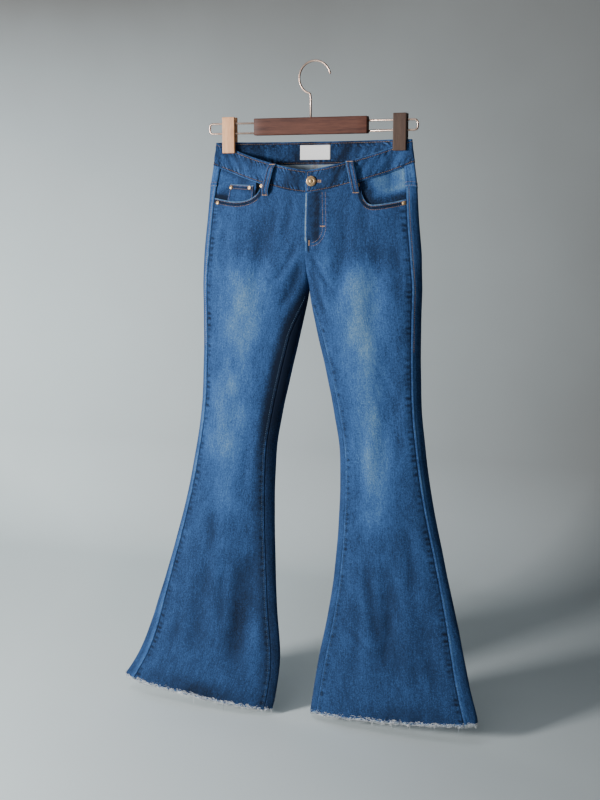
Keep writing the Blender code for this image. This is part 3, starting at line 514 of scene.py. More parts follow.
def unevenness(points):
    """Slow waves of the cloth, long down the legs and short across: a sum of sines of x, y and z."""
    x, y, z = np.moveaxis(points, -1, 0)
    wave = 0.45 * np.sin(x / 0.0115 + 1.6 * np.sin(z / 0.090) + y / 0.02)
    wave += 0.30 * np.sin(x / 0.0072 + 2.0 * np.sin(z / 0.061 + 1.0) + 2.2)
    wave += 0.40 * np.sin(z / 0.031 + 2.4 * np.sin(x / 0.034) + 0.7)
    wave += 0.25 * np.sin(z / 0.0135 + 1.9 * np.sin(x / 0.021 + 2.0))
    return 0.00050 * wave


def crease_depth(face, x, z):
    """How far the small creases of one face push in: a trough with a lower ridge on its outer side."""
    total = np.zeros(np.broadcast(x, z).shape)
    for crease in CREASES:
        if crease.face == face:
            t = np.clip((crease.top_z - z) / (crease.top_z - crease.bottom_z), 0, 1)
            if abs(crease.top_z - crease.bottom_z) < abs(crease.top_x - crease.bottom_x):
                t = np.clip((x - crease.top_x) / (crease.bottom_x - crease.top_x), 0, 1)
                off = z - (crease.top_z + (crease.bottom_z - crease.top_z) * t)
            else:
                off = x - (crease.top_x + (crease.bottom_x - crease.top_x) * t)
            off = off - 4 * crease.bow * t * (1 - t)
            uneven = 1 + 0.35 * np.sin(7 * t + 40 * crease.top_x) * np.sin(4 * t + 1)
            ends = smooth(t / 0.3) * smooth((1 - t) / 0.3)
            shape = bump(off, crease.width) - 0.45 * bump(off - 1.9 * crease.width, 1.1 * crease.width)
            total += crease.depth * ends * uneven * shape
    return total


def relief(side, face, u, z, points, sine):
    """What stands out of the form along its normals: creases, slow waves, the seams' ridges and puckers, and
    the curl of the raw edge."""
    x = points[..., 0]
    front = smooth((sine + 0.15) / 0.5)
    raised = -front * crease_depth(FRONT, x, z) - (1 - front) * crease_depth(BACK, x, z)
    raised = raised + unevenness(points) * smooth((-0.185 - z) / 0.06)
    out, inner, below = near_seams(side, face, z, points)
    raised = raised - 0.0008 * bump(out, 0.0012)
    if face == FRONT:
        raised = raised + 0.0006 * wobble(z, OUTSEAM_PUCKER, 1 + side) * bump(out - 0.0055, 0.0042)
    else:
        raised = raised + 0.0009 * bump(out - 0.0022, 0.0018) + 0.0004 * smooth((0.011 - out) / 0.003)
    raised = raised - 0.0007 * below * bump(inner, 0.0011)
    if face == FRONT:
        pucker = 0.0006 * wobble(z, INSEAM_PUCKER, 2.5 + side) * bump(inner - 0.006, 0.0045)
        raised = raised + below * (pucker + 0.0007 * bump(inner - 0.0020, 0.0016))
    else:
        raised = raised + 0.0003 * below * wobble(z, 0.0110, 0.5 + side) * bump(inner - 0.004, 0.004)
        seat = (1 - below) * smooth((-0.20 - z) / 0.02)
        raised = raised + seat * 0.0006 * (smooth((0.010 - inner) / 0.002) - 2.2 * bump(inner, 0.0012))
    above_hem = z - hem(face, side, u)
    curl = 0.0016 * wobble(x + 0.6 * points[..., 1], 0.031, 0.7 + side) * bump(above_hem, 0.011)
    return raised + curl * smooth((-0.9 - z) / 0.1)


def surface(side, face, u, z, lift=0.0):
    """Points on the creased cloth's middle, moved outwards by a lift, and their normals, on a whole grid."""
    u, z = np.broadcast_arrays(np.asarray(u, float), np.asarray(z, float))
    points, sine = form(side, face, u, z)
    normal = normals_of(points, (0, -face, 0))
    points = points + normal * (relief(side, face, u, z, points, sine) + lift)[..., None]
    return points, normals_of(points, (0, -face, 0))


def fade(points, sine):
    """How far the dye is worn off, 0 to 1: the soft strokes of the front or back, broken up by slow waves."""
    x, z = points[..., 0], points[..., 2]
    kept = np.ones(x.shape)
    for row in FADES:
        shown = smooth((sine + 0.1) / 0.4) if row.face == FRONT else smooth((0.1 - sine) / 0.4)
        kept = kept * (1 - row.strength * shown * stroke(row, x, z, row.width))
    blotches = 0.10 * np.sin(z / 0.017 + 3 * np.sin(x / 0.02))
    streaks = 0.07 * np.sin(x / 0.006 + 2 * np.sin(z / 0.03))
    return (1 - kept) * (1 + blotches + streaks)


def lengths(points, axis):
    """Distances along a grid's rows or columns, from their start."""
    steps = np.linalg.norm(np.diff(points, axis=axis), axis=-1)
    start = np.zeros_like(np.take(steps, [0], axis=axis))
    return np.concatenate([start, np.cumsum(steps, axis=axis)], axis=axis)


# A grid of cloth: points on its middle, outward normals, how worn and how shaded each is, and its wall
Patch = namedtuple("Patch", "points normals wear shade thickness")


def outer_face(patch):
    """The points on a patch's outer side."""
    return patch.points + patch.normals * patch.thickness / 2


def mesh_from(name, points, quads, uv=None, looks=None, **values):
    """A smooth mesh from arrays: points, faces of one length, a map in metres, face looks, point values."""
    mesh = bpy.data.meshes.new(name)
    points = np.ascontiguousarray(points, np.float32).reshape(-1, 3)
    quads = np.asarray(quads, np.int32)
    mesh.vertices.add(len(points))
    mesh.vertices.foreach_set("co", points.ravel())
    mesh.loops.add(quads.size)
    mesh.loops.foreach_set("vertex_index", quads.ravel())
    mesh.polygons.add(len(quads))
    mesh.polygons.foreach_set("loop_start", np.arange(0, quads.size, quads.shape[1], dtype=np.int32))
    if looks is not None:
        mesh.polygons.foreach_set("material_index", np.asarray(looks, np.int32))
    mesh.update(calc_edges=True)
    mesh.validate()
    if uv is not None:
        layer = mesh.uv_layers.new(name="cloth")
        layer.data.foreach_set("uv", np.asarray(uv, np.float32).reshape(-1, 2)[quads.ravel()].ravel())
    for key, value in values.items():
        layer = mesh.attributes.new(key, "FLOAT", "POINT")
        layer.data.foreach_set("value", np.asarray(value, np.float32).ravel())
    mesh.shade_smooth()
    return mesh


def shell(name, patch, rim_wear=0.35, uv_turn=False):
    """A closed wall round a patch: its outer and inner grids, joined by a rounded rim half a wall wide."""
    rows, columns = patch.wear.shape
    half = patch.normals * patch.thickness / 2
    index = np.arange(rows * columns).reshape(rows, columns)
    loop = np.concatenate([index[0, :-1], index[:-1, -1], index[-1, :0:-1], index[:0:-1, 0]])
    i, j = np.divmod(loop, columns)
    inside = patch.points[np.clip(i, 1, rows - 2), np.clip(j, 1, columns - 2)]
    edge = patch.points[i, j]
    rim = edge + unit(edge - inside) * patch.thickness * 0.42
    count = rows * columns
    corners = [index[:-1, :-1], index[1:, :-1], index[1:, 1:], index[:-1, 1:]]
    outer = np.stack(corners, axis=-1).reshape(-1, 4)
    after = np.roll(loop, -1)
    rim_index = 2 * count + np.arange(len(loop))
    rim_after = np.roll(rim_index, -1)
    quads = np.concatenate([
        outer,
        outer[:, ::-1] + count,
        np.stack([loop, after, rim_after, rim_index], axis=-1),
        np.stack([rim_index, rim_after, after + count, loop + count], axis=-1),
    ])
    first = patch.points.reshape(-1, 3)[outer[0]]
    if np.cross(first[1] - first[0], first[2] - first[0]) @ patch.normals[0, 0] < 0:
        quads = quads[:, ::-1]
    points = np.concatenate([(patch.points + half).reshape(-1, 3), (patch.points - half).reshape(-1, 3), rim])
    across = lengths(patch.points, 1)
    across = across - across[:, columns // 2][:, None]
    down = lengths(patch.points, 0)
    uv = np.stack([down, across] if uv_turn else [across, -down], axis=-1).reshape(-1, 2)
    looks = np.concatenate([np.zeros(len(outer)), np.ones(len(outer)), np.zeros(2 * len(loop))])
    wear, shade = patch.wear.ravel(), patch.shade.ravel()
    worn = np.concatenate([wear, wear, wear[loop] + rim_wear])
    dark = np.concatenate([shade, shade, shade[loop]])
    return mesh_from(name, points, quads, np.concatenate([uv, uv, uv[loop]]), looks, worn=worn, shade=dark)


def flat_area(patch):
    """The patch's own area: the sum of its cells."""
    a = patch.points[1:, 1:] - patch.points[:-1, :-1]
    b = patch.points[1:, :-1] - patch.points[:-1, 1:]
    return float(np.linalg.norm(np.cross(a, b), axis=-1).sum() / 2)


def put(name, mesh, looks, node=None):
    """Makes the piece: an object at the origin on the one body, with its materials and its node."""
    piece = bpy.data.objects.new(name, mesh)
    bpy.context.scene.collection.objects.link(piece)
    for look in looks:
        piece.data.materials.append(look)
    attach(piece, "root")
    if node:
        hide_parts(node)
    return piece


def sew_up(name, patch, looks, rim_wear=0.35, uv_turn=False):
    piece = put(f"{name}_cloth", shell(name, patch, rim_wear, uv_turn), looks, name)
    width = float(lengths(patch.points, 1)[:, -1].max())
    length = float(lengths(patch.points, 0)[-1].max())
    area = min(flat_area(patch), width * length)
    area = max(area, 0.3 * width * length)


def dashes(z, pitch, phase):
    """Short dark dashes along a seam: the lower half of its wobble, turned up."""
    return np.maximum(-wobble(z, pitch, phase), 0)


def seam_shade(side, face, z, points):
    """Darker in the seams: dashes in the puckers beside both seams of the front, a dark line in each seam,
    and painted shade along the right leg's inseam, where its inner side turns away from the light, which
    fades towards the knee."""
    out, inner, below = near_seams(side, face, z, points)
    shade = 0.80 * bump(out, 0.0014)
    at_inseam = 0.4 * bump(inner, 0.0011)
    if face == FRONT:
        shade = shade + 1.30 * dashes(z, OUTSEAM_PUCKER, 1 + side) * bump(out - 0.0056, 0.0046)
        at_inseam = at_inseam + dashes(z, INSEAM_PUCKER, 2.5 + side) * bump(inner - 0.0066, 0.0042)
    # painted shade: the right leg's inner side, turned away from the light, darkened along its inseam and
    # less so below the knee
    if side == RIGHT:
        band = 0.35 + 0.65 * smooth((z + 0.78) / 0.22)
        at_inseam = at_inseam + 1.25 * smooth((0.028 - inner) / 0.022) * band
    return shade + below * at_inseam


def painted_fold_shade(face, points):
    """Painted shade in the folds and creases, and painted light on the ridges beside them."""
    x, z = points[..., 0], points[..., 2]
    return 55 * fold_depth(face, x, z) + 125 * crease_depth(face, x, z)


def seam_wear(side, face, z, points):
    """Dye rubbed off the seams' ridges: a broken pale line at the back's outseam and the front's inseam."""
    out, inner, below = near_seams(side, face, z, points)
    rubbed = 0.7 + 0.3 * wobble(z, 0.013, 4 + side)
    if face == FRONT:
        return 0.40 * below * rubbed * bump(inner - 0.0020, 0.0014)
    return 0.36 * rubbed * bump(out - 0.0022, 0.0016) + 0.20 * smooth((0.012 - out) / 0.004)


def panel(side, face, u, z, lift=0.0):
    """A front or back panel's patch: the creased surface with its fades and seam dashes, a ragged pale edge
    along the hem, darker patches just above it, painted shade in its folds, its creases and along the right
    leg's inseam, and a darkening towards the hem that is partly unworn dye and partly painted shade."""
    u, z = np.broadcast_arrays(u, z)
    plain, sine = form(side, face, u, z)
    points, normals = surface(side, face, u, z, lift)
    worn = fade(plain, sine) + seam_wear(side, face, z, plain)
    x = plain[..., 0]
    above_hem = z - hem(face, side, u)
    ragged = 0.0008 + 0.0024 * wobble(x, 0.011, 0.3) + 0.0018 * wobble(x, 0.0043, 1.3)
    worn = worn + 1.4 * smooth((ragged - above_hem) / 0.0015)
    patchy = bump(x + 0.205, 0.085) + 0.5 * bump(x - 0.20, 0.090)
    darker_above_hem = 0.62 * patchy * smooth((0.046 - above_hem) / 0.036) * smooth(above_hem / 0.006)
    # Darker towards the hem: partly unworn dye, partly painted shade where the light falls off downwards.
    low = 0.07 * smooth((-0.78 - z) / 0.34)
    shade = seam_shade(side, face, z, plain) + painted_fold_shade(face, plain) + darker_above_hem + low
    return Patch(points, normals, worn, shade, CLOTH)


def even(count, gather=0.5):
    """Shares from 0 to 1, drawn closer at both ends: s - g sin(2 pi s) / 2 pi."""
    s = np.linspace(0, 1, count)
    return s - gather * np.sin(2 * math.pi * s) / (2 * math.pi)


def between(top, bottom, shares):
    """Heights from the top edge to the bottom edge, a row for each share of the way."""
    return top[None, :] + (bottom - top)[None, :] * np.asarray(shares)[:, None]


def panel_rows(face, side, u, top, upper, lower):
    """A panel's heights: fine rows from its upper edge to a level below the pockets, then down to the hem."""
    level = np.full(len(u), POCKET_LEVEL)
    head = between(top, level, np.linspace(0, 1, upper))
    return np.concatenate([head[:-1], between(level, hem(face, side, u), np.linspace(0, 1, lower))])


def u_at(side, face, x, z):
    """The fraction u at which the form lies at x, found by halving the range over and over."""
    low, high = np.zeros(np.shape(x)), np.ones(np.shape(x))
    for _ in range(26):
        middle = (low + high) / 2
        beyond = side * (form(side, face, middle, z)[0][..., 0] - x) > 0
        high = np.where(beyond, middle, high)
        low = np.where(beyond, low, middle)
    return (low + high) / 2


def off_line(points, line):
    """Each point's distance in x and z from a line of (x, z) points."""
    away = points[..., None, (0, 2)] - line
    return np.sqrt((away**2).sum(axis=-1).min(axis=-1))


def values_at(at, run, line):
    """A line's columns at distances along it, in straight steps between its points."""
    return np.stack([np.interp(at, run, column) for column in line.T], axis=-1)


def resampled(line, pitch):
    """A line of points at even steps of about this pitch."""
    run = lengths(line, 0)
    return values_at(np.linspace(0, run[-1], max(2, round(run[-1] / pitch) + 1)), run, line)


def beside(line, distance):
    """A line of (x, z) moved sideways by a distance, to the left of its own run."""
    way = unit(np.gradient(line, axis=0))
    return line + np.stack([-way[:, 1], way[:, 0]], axis=1) * distance


def scoop_line(side):
    """The pocket's scooped edge on the front, in (x, z), from the waist seam to the outseam."""
    pocket = POCKETS[side]
    half, seam = torso_seam(side, pocket.low_z)
    across = np.concatenate([
        pocket.start + (pocket.low - pocket.start) * np.linspace(0, 1, 60) ** 2.2,
        np.linspace(pocket.low, half * np.cos(seam), 40)[1:],
    ])
    line = np.stack([along(LEAN, "centre", pocket.low_z) + side * across, pocket_edge(side, across)], axis=1)
    return resampled(line, 0.0012)


def fly_line():
    """The J of the fly's stitching in (x, z): straight down, then round to the fly's end."""
    turn = np.linspace(0, math.pi / 2, 24)
    curve = np.stack([0.0060 + 0.0260 * np.cos(turn), -0.284 - 0.034 * np.sin(turn)], axis=1)
    return resampled(np.concatenate([[(0.0290, -0.2245)], curve]), 0.0010)


def rings_round(middle, one, other, count, radius):
    """Rings of points round a path: its middle plus the radius times (one cos a + other sin a)."""
    turn = np.arange(count) * 2 * math.pi / count
    ring = one[..., None, :] * np.cos(turn)[:, None] + other[..., None, :] * np.sin(turn)[:, None]
    return middle[..., None, :] + ring * radius[..., None, None]


def tube_faces(rings, sides):
    """The four-cornered faces between rings of points, as numbers of those points."""
    index = np.arange(rings * sides).reshape(rings, sides)
    after = np.roll(index, -1, axis=1)
    return np.stack([index[:-1], after[:-1], after[1:], index[1:]], axis=-1).reshape(-1, 4)


def turned_out(mesh, merge=0.0):
    """Turns a closed mesh's faces outwards, and merges the points that lie this close together."""
    shape = bmesh.new()
    shape.from_mesh(mesh)
    if merge:
        bmesh.ops.remove_doubles(shape, verts=shape.verts, dist=merge)
    bmesh.ops.recalc_face_normals(shape, faces=shape.faces)
    shape.to_mesh(mesh)
    shape.free()


# The points of every stitch so far, by the thread's colour: one array for each row of stitching
STITCHES = {}

# A stitch along its length: where its five rings lie, how wide they are and how far they stand out
STITCH_ALONG = np.array([-1, -0.72, 0, 0.72, 1])
STITCH_WIDTH = np.array([0.05, 0.85, 1, 0.85, 0.05])
STITCH_OUT = np.array([-0.9, 0.1, 0.55, 0.1, -0.9])


def stitch(colour, line, normals, pitch=STITCH, share=0.66, radius=0.00032, skip=0.0):
    """Adds a row of thread along a line on the cloth: short capsules whose ends sink into it."""
    run = lengths(line, 0)
    places = np.arange(skip + pitch / 2, run[-1] - skip, pitch)
    if len(places) == 0:
        return
    at = places[:, None] + STITCH_ALONG * pitch * share / 2
    middle = values_at(at, run, line)
    out = values_at(at, run, normals)
    beam = unit(np.cross(unit(middle[:, -1:] - middle[:, :1]), out))
    middle = middle + out * (STITCH_OUT * radius)[:, None]
    points = rings_round(middle, beam, out, 5, STITCH_WIDTH * radius)
    STITCHES.setdefault(colour, []).append(points.reshape(len(places), -1, 3))


def sew_thread(name, colour, look):
    """Makes one piece of all the stitches of a colour."""
    points = np.concatenate(STITCHES[colour])
    quads = np.concatenate([tube_faces(5, 5)[:, ::-1], [[0, 4, 3, 2], [20, 21, 22, 23]]])
    tris = np.array([[0, 2, 1], [20, 23, 24]])
    count = len(points)
    start = np.arange(count)[:, None, None] * 25
    mesh = bpy.data.meshes.new(name)
    faces = (start + quads).reshape(-1, 4).tolist() + (start + tris).reshape(-1, 3).tolist()
    mesh.from_pydata(points.reshape(-1, 3).tolist(), [], faces)
    tone = np.random.default_rng(3).random(count)
    layer = mesh.attributes.new("tone", "FLOAT", "POINT")
    layer.data.foreach_set("value", np.repeat(tone, 25).astype(np.float32))
    mesh.shade_smooth()
    turned_out(mesh)
    put(name, mesh, [look])


def line_on(patch, edge, distance):
    """A line on a patch's outer face at a distance inside one of its edges, with its normals."""
    points, normals = outer_face(patch), patch.normals
    if edge in ("top", "bottom"):
        points, normals = points.swapaxes(0, 1), normals.swapaxes(0, 1)
    if edge in ("right", "bottom"):
        points, normals = points[:, ::-1], normals[:, ::-1]
    run = lengths(points, 1)
    i = np.clip((run < distance).sum(axis=1) - 1, 0, run.shape[1] - 2)
    row = np.arange(len(run))
    t = ((distance - run[row, i]) / (run[row, i + 1] - run[row, i]))[:, None]
    return points[row, i] * (1 - t) + points[row, i + 1] * t, normals[row, i]


def stitch_edges(patch, edges, rows, colour="tan", **how):
    """Rows of stitching on a patch's outer face, at each of these distances inside each of these edges."""
    for edge in edges:
        for row in rows:
            stitch(colour, *line_on(patch, edge, row), **how)


def bartack(points, normals, spread=0.0011, pitch=0.00045):
    """A dense block of tan thread: short stitches side by side across a short line."""
    beam = unit(np.cross(np.gradient(points, axis=0), normals))
    run = lengths(points, 0)
    at = np.arange(0, run[-1], pitch)
    for middle, out, across in zip(*(values_at(at, run, part) for part in (points, normals, beam))):
        ends = np.stack([middle - across * spread, middle + across * spread])
        stitch("tan", ends, np.stack([out, out]), 2 * spread, 0.96, 0.0003)


def scoop_marks(side, points):
    """What the pocket's turned edge adds to wear, shade and height: a pale edge, and a dark raised band."""
    x = points[..., 0]
    scoop = off_line(points, scoop_line(side)[6:])
    hip = side * (x - along(LEAN, "centre", points[..., 2])) > POCKETS[side].start - 0.004
    worn = 0.95 * bump(scoop, 0.0016) * (0.8 + 0.2 * wobble(x, 0.009, 1.0))
    shade = 0.85 * smooth((0.0095 - scoop) / 0.003) * smooth((scoop - 0.0012) / 0.001)
    raised = 0.0007 * smooth((0.0090 - scoop) / 0.002) - 0.0004 * bump(scoop - 0.0045, 0.0012)
    return hip * worn, hip * shade, hip * raised


def fly_marks(points):
    """What the fly adds to wear, shade and height: its pale edge, the dark fold inside its J, the J's
    puckers, and the seam below it."""
    z = points[..., 2]
    across = points[..., 0] - along(LEAN, "centre", z)
    jay = off_line(points, fly_line())
    open_fly = smooth((z - FLY_END + 0.012) / 0.006)
    seam = smooth((FLY_END - z) / 0.012) * smooth((z - CROTCH) / 0.01)

    worn = 1.10 * bump(across - 0.0009, 0.0016) * (0.8 + 0.2 * wobble(z, 0.010, 3.0))
    worn = worn + 0.30 * bump(jay - 0.0008, 0.0010) * np.maximum(wobble(z, 0.0060, 2.0), 0)
    worn = worn * open_fly + 0.55 * bump(across - 0.0024, 0.0017) * seam

    folded = 0.45 + 0.95 * bump(across - 0.0215, 0.0075) * (0.8 + 0.2 * wobble(z, 0.022, 1.0))
    inside = smooth((0.030 - across) / 0.006) * smooth((across - 0.0025) / 0.002)
    shade = inside * folded * (0.75 + 0.25 * wobble(z, 0.014, 2.0))
    shade = shade + 0.45 * np.maximum(wobble(z, FLY_PUCKER, 1.0), 0) * bump(jay - 0.004, 0.0040)
    shade = shade * open_fly + 0.80 * bump(across - 0.0070, 0.0030) * seam

    raised = 0.0009 * wobble(z + 0.3 * across, FLY_PUCKER, 1.0) * bump(jay - 0.005, 0.0060)
    raised = raised + 0.0005 * smooth((0.031 - across) / 0.002)
    return worn, shade, raised * open_fly


def front_marks(side, patch):
    """Adds the marks of the sewing to a front's upper part: the pocket's scoop, and the fly on the left."""
    rows = (patch.points[..., 2] > MARKS_END).any(axis=1)
    upper = patch.points[rows]
    marks = np.stack(scoop_marks(side, upper))
    if side == LEFT:
        marks = marks + np.stack(fly_marks(upper))
    points, wear, shade = patch.points.copy(), patch.wear.copy(), patch.shade.copy()
    wear[rows] += marks[0]
    shade[rows] += marks[1]
    points[rows] += patch.normals[rows] * marks[2][..., None]
    return patch._replace(points=points, normals=normals_of(points, (0, -1, 0)), wear=wear, shade=shade)


def make_panels(looks):
    """Two fronts and two backs, each from its upper seam to the hem, with their long seams' stitching."""
    patches = {}
    at_pocket = np.linspace(0.46, 0.80, 31)
    front_u = np.sort(np.concatenate([even(FRONT_COLUMNS), at_pocket]))
    front_u = front_u[np.diff(front_u, prepend=-1) > 0.0015]
    front_u[-1] = 1
    back_u = even(BACK_COLUMNS)
    for side, word in SIDES:
        heights = panel_rows(FRONT, side, front_u, front_top(side, front_u), *FRONT_ROWS)
        front = front_marks(side, panel(side, FRONT, front_u, heights))
        heights = panel_rows(BACK, side, back_u, yoke_seam(side, back_u), *BACK_ROWS)
        back = panel(side, BACK, back_u, heights)
        patches[FRONT, side], patches[BACK, side] = front, back
        sew_up(f"front_{word}", front, looks, 0.12)
        sew_up(f"back_{word}", back, looks, 0.12)
        line, normals = line_on(back, "right", LONG_ROW)
        stitch("tan", line[:STITCHED_ROWS], normals[:STITCHED_ROWS], LONG_STITCH)
        line, normals = line_on(front, "left", LONG_ROW)
        low = line[:, 2] < CROTCH - 0.01
        stitch("tonal", line[low], normals[low], LONG_STITCH)
    return patches


def make_yokes(looks):
    """Two yokes between the waistband and the backs, double stitched along their lower edge, with the centre
    seam's two rows of thread showing inside."""
    for side, word in SIDES:
        u = even(80)
        heights = between(waist_seam(side, BACK, u), yoke_seam(side, u), np.linspace(0, 1, 24))
        points, normals = surface(side, BACK, u, heights)
        low = lengths(points, 0)
        low = low[-1] - low
        raised = 0.0007 * smooth((0.010 - low) / 0.002)
        raised = raised + 0.0004 * wobble(points[..., 0], YOKE_PUCKER, 1) * bump(low - 0.005, 0.004)
        points = points + normals * raised[..., None]
        worn = 0.22 + 0.20 * bump(low - 0.0008, 0.0012)
        shade = 0.35 * dashes(points[..., 0], YOKE_PUCKER, 1) * bump(low - 0.006, 0.004)
        patch = Patch(points, normals_of(points, (0, 1, 0)), worn, shade, CLOTH)
        sew_up(f"yoke_{word}", patch, looks)
        stitch_edges(patch, ["bottom"], (0.0018, 0.0078))
        inner_side = patch._replace(normals=-patch.normals)
        stitch_edges(inner_side, ["left"], (0.0012, 0.0036), pitch=LABEL_STITCH, radius=0.0005)


def band_points(side, face, u):
    """A waistband's points. A negative u lies past the middle, on the other side, as the underlap does."""
    top = band_top(side, face, np.abs(u))
    heights = between(top, top - BAND_HEIGHT, even(22, 0.6))
    points = form(side, face, np.abs(u), heights)[0]
    middle = along(LEAN, "centre", heights)
    points[..., 0] = np.where(u < 0, 2 * middle - points[..., 0], points[..., 0])
    if face == FRONT and side == RIGHT:
        points[..., 1] += UNDERLAP_DROP * smooth((0.12 - u) / 0.12)
    return points


def finished_band(points, face):
    """A band's patch: raised edges, puckers along its stitching except in the clips, and pale worn edges.

    Its wear and shade are slow and quick waves across it, slanted outwards, so that it looks crumpled.
    """
    normals = normals_of(points, (0, -face, 0))
    down = lengths(points, 0)
    up = down[-1] - down
    x = points[..., 0]
    free = 1 - np.exp(-(((np.abs(x - CLIP_X) - CLIP_REACH) / UNPUCKERED) ** 6))
    edge = np.minimum(down, up)
    slant = x + 0.55 * down * np.sign(x)
    slow = wobble(slant, 0.027, 2.0)

    raised = 0.0006 * wobble(slant, BAND_PUCKER, 1.0 + face) * bump(edge - 0.0060, 0.0050)
    raised = raised - 0.00055 * bump(edge - BAND_ROW, 0.0012) - 0.0003 * bump(edge - 0.0090, 0.004)
    raised = raised + 0.0007 * slow * bump(down - 0.019, 0.013)
    points = points + normals * (raised * free)[..., None]

    rubbed = 0.70 + 0.30 * wobble(x, 0.017, 2.0)
    worn = rubbed * (0.26 * bump(down, 0.0013) + 0.30 * bump(up, 0.0012))
    worn = worn + 0.02 + 0.22 * slow * bump(down - 0.019, 0.014)
    worn = worn + 0.16 * np.sin(x / 0.021 + 2.2 * np.sin(x / 0.047) + down / 0.02)
    worn = worn + 0.55 * np.maximum(wobble(slant, 0.0062, 0.4 + face), 0) * bump(edge - 0.0050, 0.0040)

    shade = 0.22 + 1.35 * dashes(slant, BAND_PUCKER, 1.0 + face) * bump(edge - 0.0065, 0.0045)
    shade = shade + 0.65 * bump(edge - BAND_ROW, 0.0011) + 0.30 * smooth((0.006 - up) / 0.004)
    return Patch(points, normals_of(points, (0, -face, 0)), worn, shade, BAND)


def make_waistband(look, shaded_inner_look):
    """The front bands, the right one running on under the left, and the back band, all stitched. Gives the
    left one, which carries the button."""
    right = band_points(RIGHT, FRONT, np.concatenate([np.linspace(UNDERLAP, -0.01, 14), even(96)]))
    left = band_points(LEFT, FRONT, even(100))
    halves = [band_points(side, BACK, even(90)) for side, _ in SIDES]
    back = np.concatenate([halves[0][:, :0:-1], halves[1]], axis=1)
    for name, points, face in (("right", right, FRONT), ("left", left, FRONT), ("back", back, BACK)):
        patch = finished_band(points, face)
        # The inner faces take the darker copy of the denim: painted shade inside the waist.
        sew_up(f"waistband_{name}", patch, [look, shaded_inner_look], 0.45)
        stitch_edges(patch, ["top", "bottom"], [BAND_ROW], pitch=BAND_STITCH, skip=0.004)
        if name == "left":
            left_band = patch
    stitch_edges(left_band, ["left"], [BAND_ROW], pitch=BAND_STITCH, skip=0.003)
    inside = patch._replace(normals=-patch.normals)
    stitch_edges(inside, ["top", "bottom"], [0.0026], pitch=FLY_STITCH, skip=0.004)
    return left_band


def across_middle(face, across, z, out):
    """Points over the middle line, moved out by a distance: a negative place across lies on the right."""
    across, z = np.broadcast_arrays(across, z)
    sides = [form(side, face, torso_u(side, face, np.abs(across), z), z)[0] for side, _ in SIDES]
    points = np.where((across < 0)[..., None], sides[0], sides[1])
    normals = normals_of(points, (0, -face, 0))
    points = points + normals * np.broadcast_to(out, across.shape)[..., None]
    return points, normals


def make_fly(looks, fronts):
    """The underlap behind the fly's edge, the double J of stitching, the row down its edge and two tacks."""
    across = np.linspace(*FLY_SHIELD, 26)
    top = waist_seam(LEFT, FRONT, np.abs(across) / (TORSO[1].half - SEAM_INSET))
    heights = between(top, np.full(26, FLY_END + 0.006), np.linspace(0, 1, 44))
    points, normals = across_middle(FRONT, across, heights, -(CLOTH + LAYER_GAP + FLY_LIFT))
    points = points + normals * (0.0002 * np.sin(heights / 0.006))[..., None]
    flat = np.zeros(heights.shape)
    sew_up("fly_shield", Patch(points, normals, flat + 0.1, flat + 0.2, CLOTH), looks)
    patch = fronts[FRONT, LEFT]
    for row in FLY_ROWS:
        stitch("tan", *snug(patch, beside(fly_line(), row)), pitch=FLY_STITCH)
    line, normals = line_on(patch, "left", 0.0016)
    kept = line[:, 2] > -0.312
    stitch("tan", line[kept], normals[kept])
    for start, end in FLY_TACKS:
        bartack(*snug(patch, np.linspace(start, end, 12)))


def snug(patch, line):
    """A line of (x, z) laid on a patch's outer face: its depth and normals are the mean of the six nearest
    points, each weighted by one over its squared distance."""
    points, normals = outer_face(patch), patch.normals
    rows = (points[..., 2] > line[:, 1].min() - 0.03).any(axis=1)
    points, normals = points[rows], normals[rows]
    flat = points.reshape(-1, 3)
    away = ((flat[None, :, (0, 2)] - line[:, None]) ** 2).sum(axis=-1)
    near = np.argpartition(away, 6, axis=1)[:, :6]
    weight = 1 / (np.take_along_axis(away, near, axis=1) + 1e-9)
    weight /= weight.sum(axis=1, keepdims=True)
    y = (flat[near, 1] * weight).sum(axis=1)
    out = unit((normals.reshape(-1, 3)[near] * weight[..., None]).sum(axis=1))
    return np.stack([line[:, 0], y, line[:, 1]], axis=1), out


def facing_bottom(side, u):
    """The facing's lower edge, a little below the pocket's scoop."""
    pocket = POCKETS[side]
    half, seam = torso_seam(side, pocket.low_z)
    across = np.maximum(u * half * np.cos(seam), pocket.start + 0.012)
    return pocket_edge(side, across) - FACING_BELOW


def facing_lift(side, u, z):
    """How far behind the front the pocket's facing lies: deeper in its middle and at the pocket's mouth."""
    top = waist_seam(side, FRONT, u)
    share = np.clip((top - z) / (top - facing_bottom(side, u)), 0, 1)
    middle = smooth(share / 0.25) * smooth((1 - u) / 0.12)
    mouth = np.exp(-(((u - 0.69) / 0.16) ** 2 + ((share - 0.62) / 0.25) ** 2))
    return -(FACING_DEPTH * (1 + middle) + POCKETS[side].gape * mouth)


def make_pockets(looks, fronts):
    """The front pockets and the back ones. Gives the coin pocket, which carries two rivets."""
    for side, word in SIDES:
        make_facing(side, word, looks, fronts[FRONT, side])
    coin = make_coin_pocket(looks)
    make_back_pockets(looks)
    return coin


def make_facing(side, word, looks, front):
    """A pocket's facing, dark along the scoop that shades it, and the two rows stitched round the scoop."""
    facing = FACINGS[side]
    u = np.linspace(0.55, 1, 66)
    heights = between(waist_seam(side, FRONT, u), facing_bottom(side, u), np.linspace(0, 1, 46))
    points, normals = surface(side, FRONT, u, heights, facing_lift(side, u, heights))
    worn = facing.wear + 0.15 * np.sin(points[..., 0] / 0.011 + 2 * np.sin(points[..., 2] / 0.01))
    mouth = off_line(points, scoop_line(side)[6:])
    shade = facing.shade + 1.4 * smooth((facing.reach - mouth) / (0.8 * facing.reach))
    sew_up(f"pocket_facing_{word}", Patch(points, normals, worn, shade, CLOTH), looks)
    for row in POCKET_ROWS:
        line = beside(scoop_line(side)[4:], side * -row)
        line = line[side * (line[:, 0] - LEAN[1].centre) > POCKETS[side].start + 0.003]
        stitch("tan", *snug(front, line), pitch=BAND_STITCH, skip=0.002)


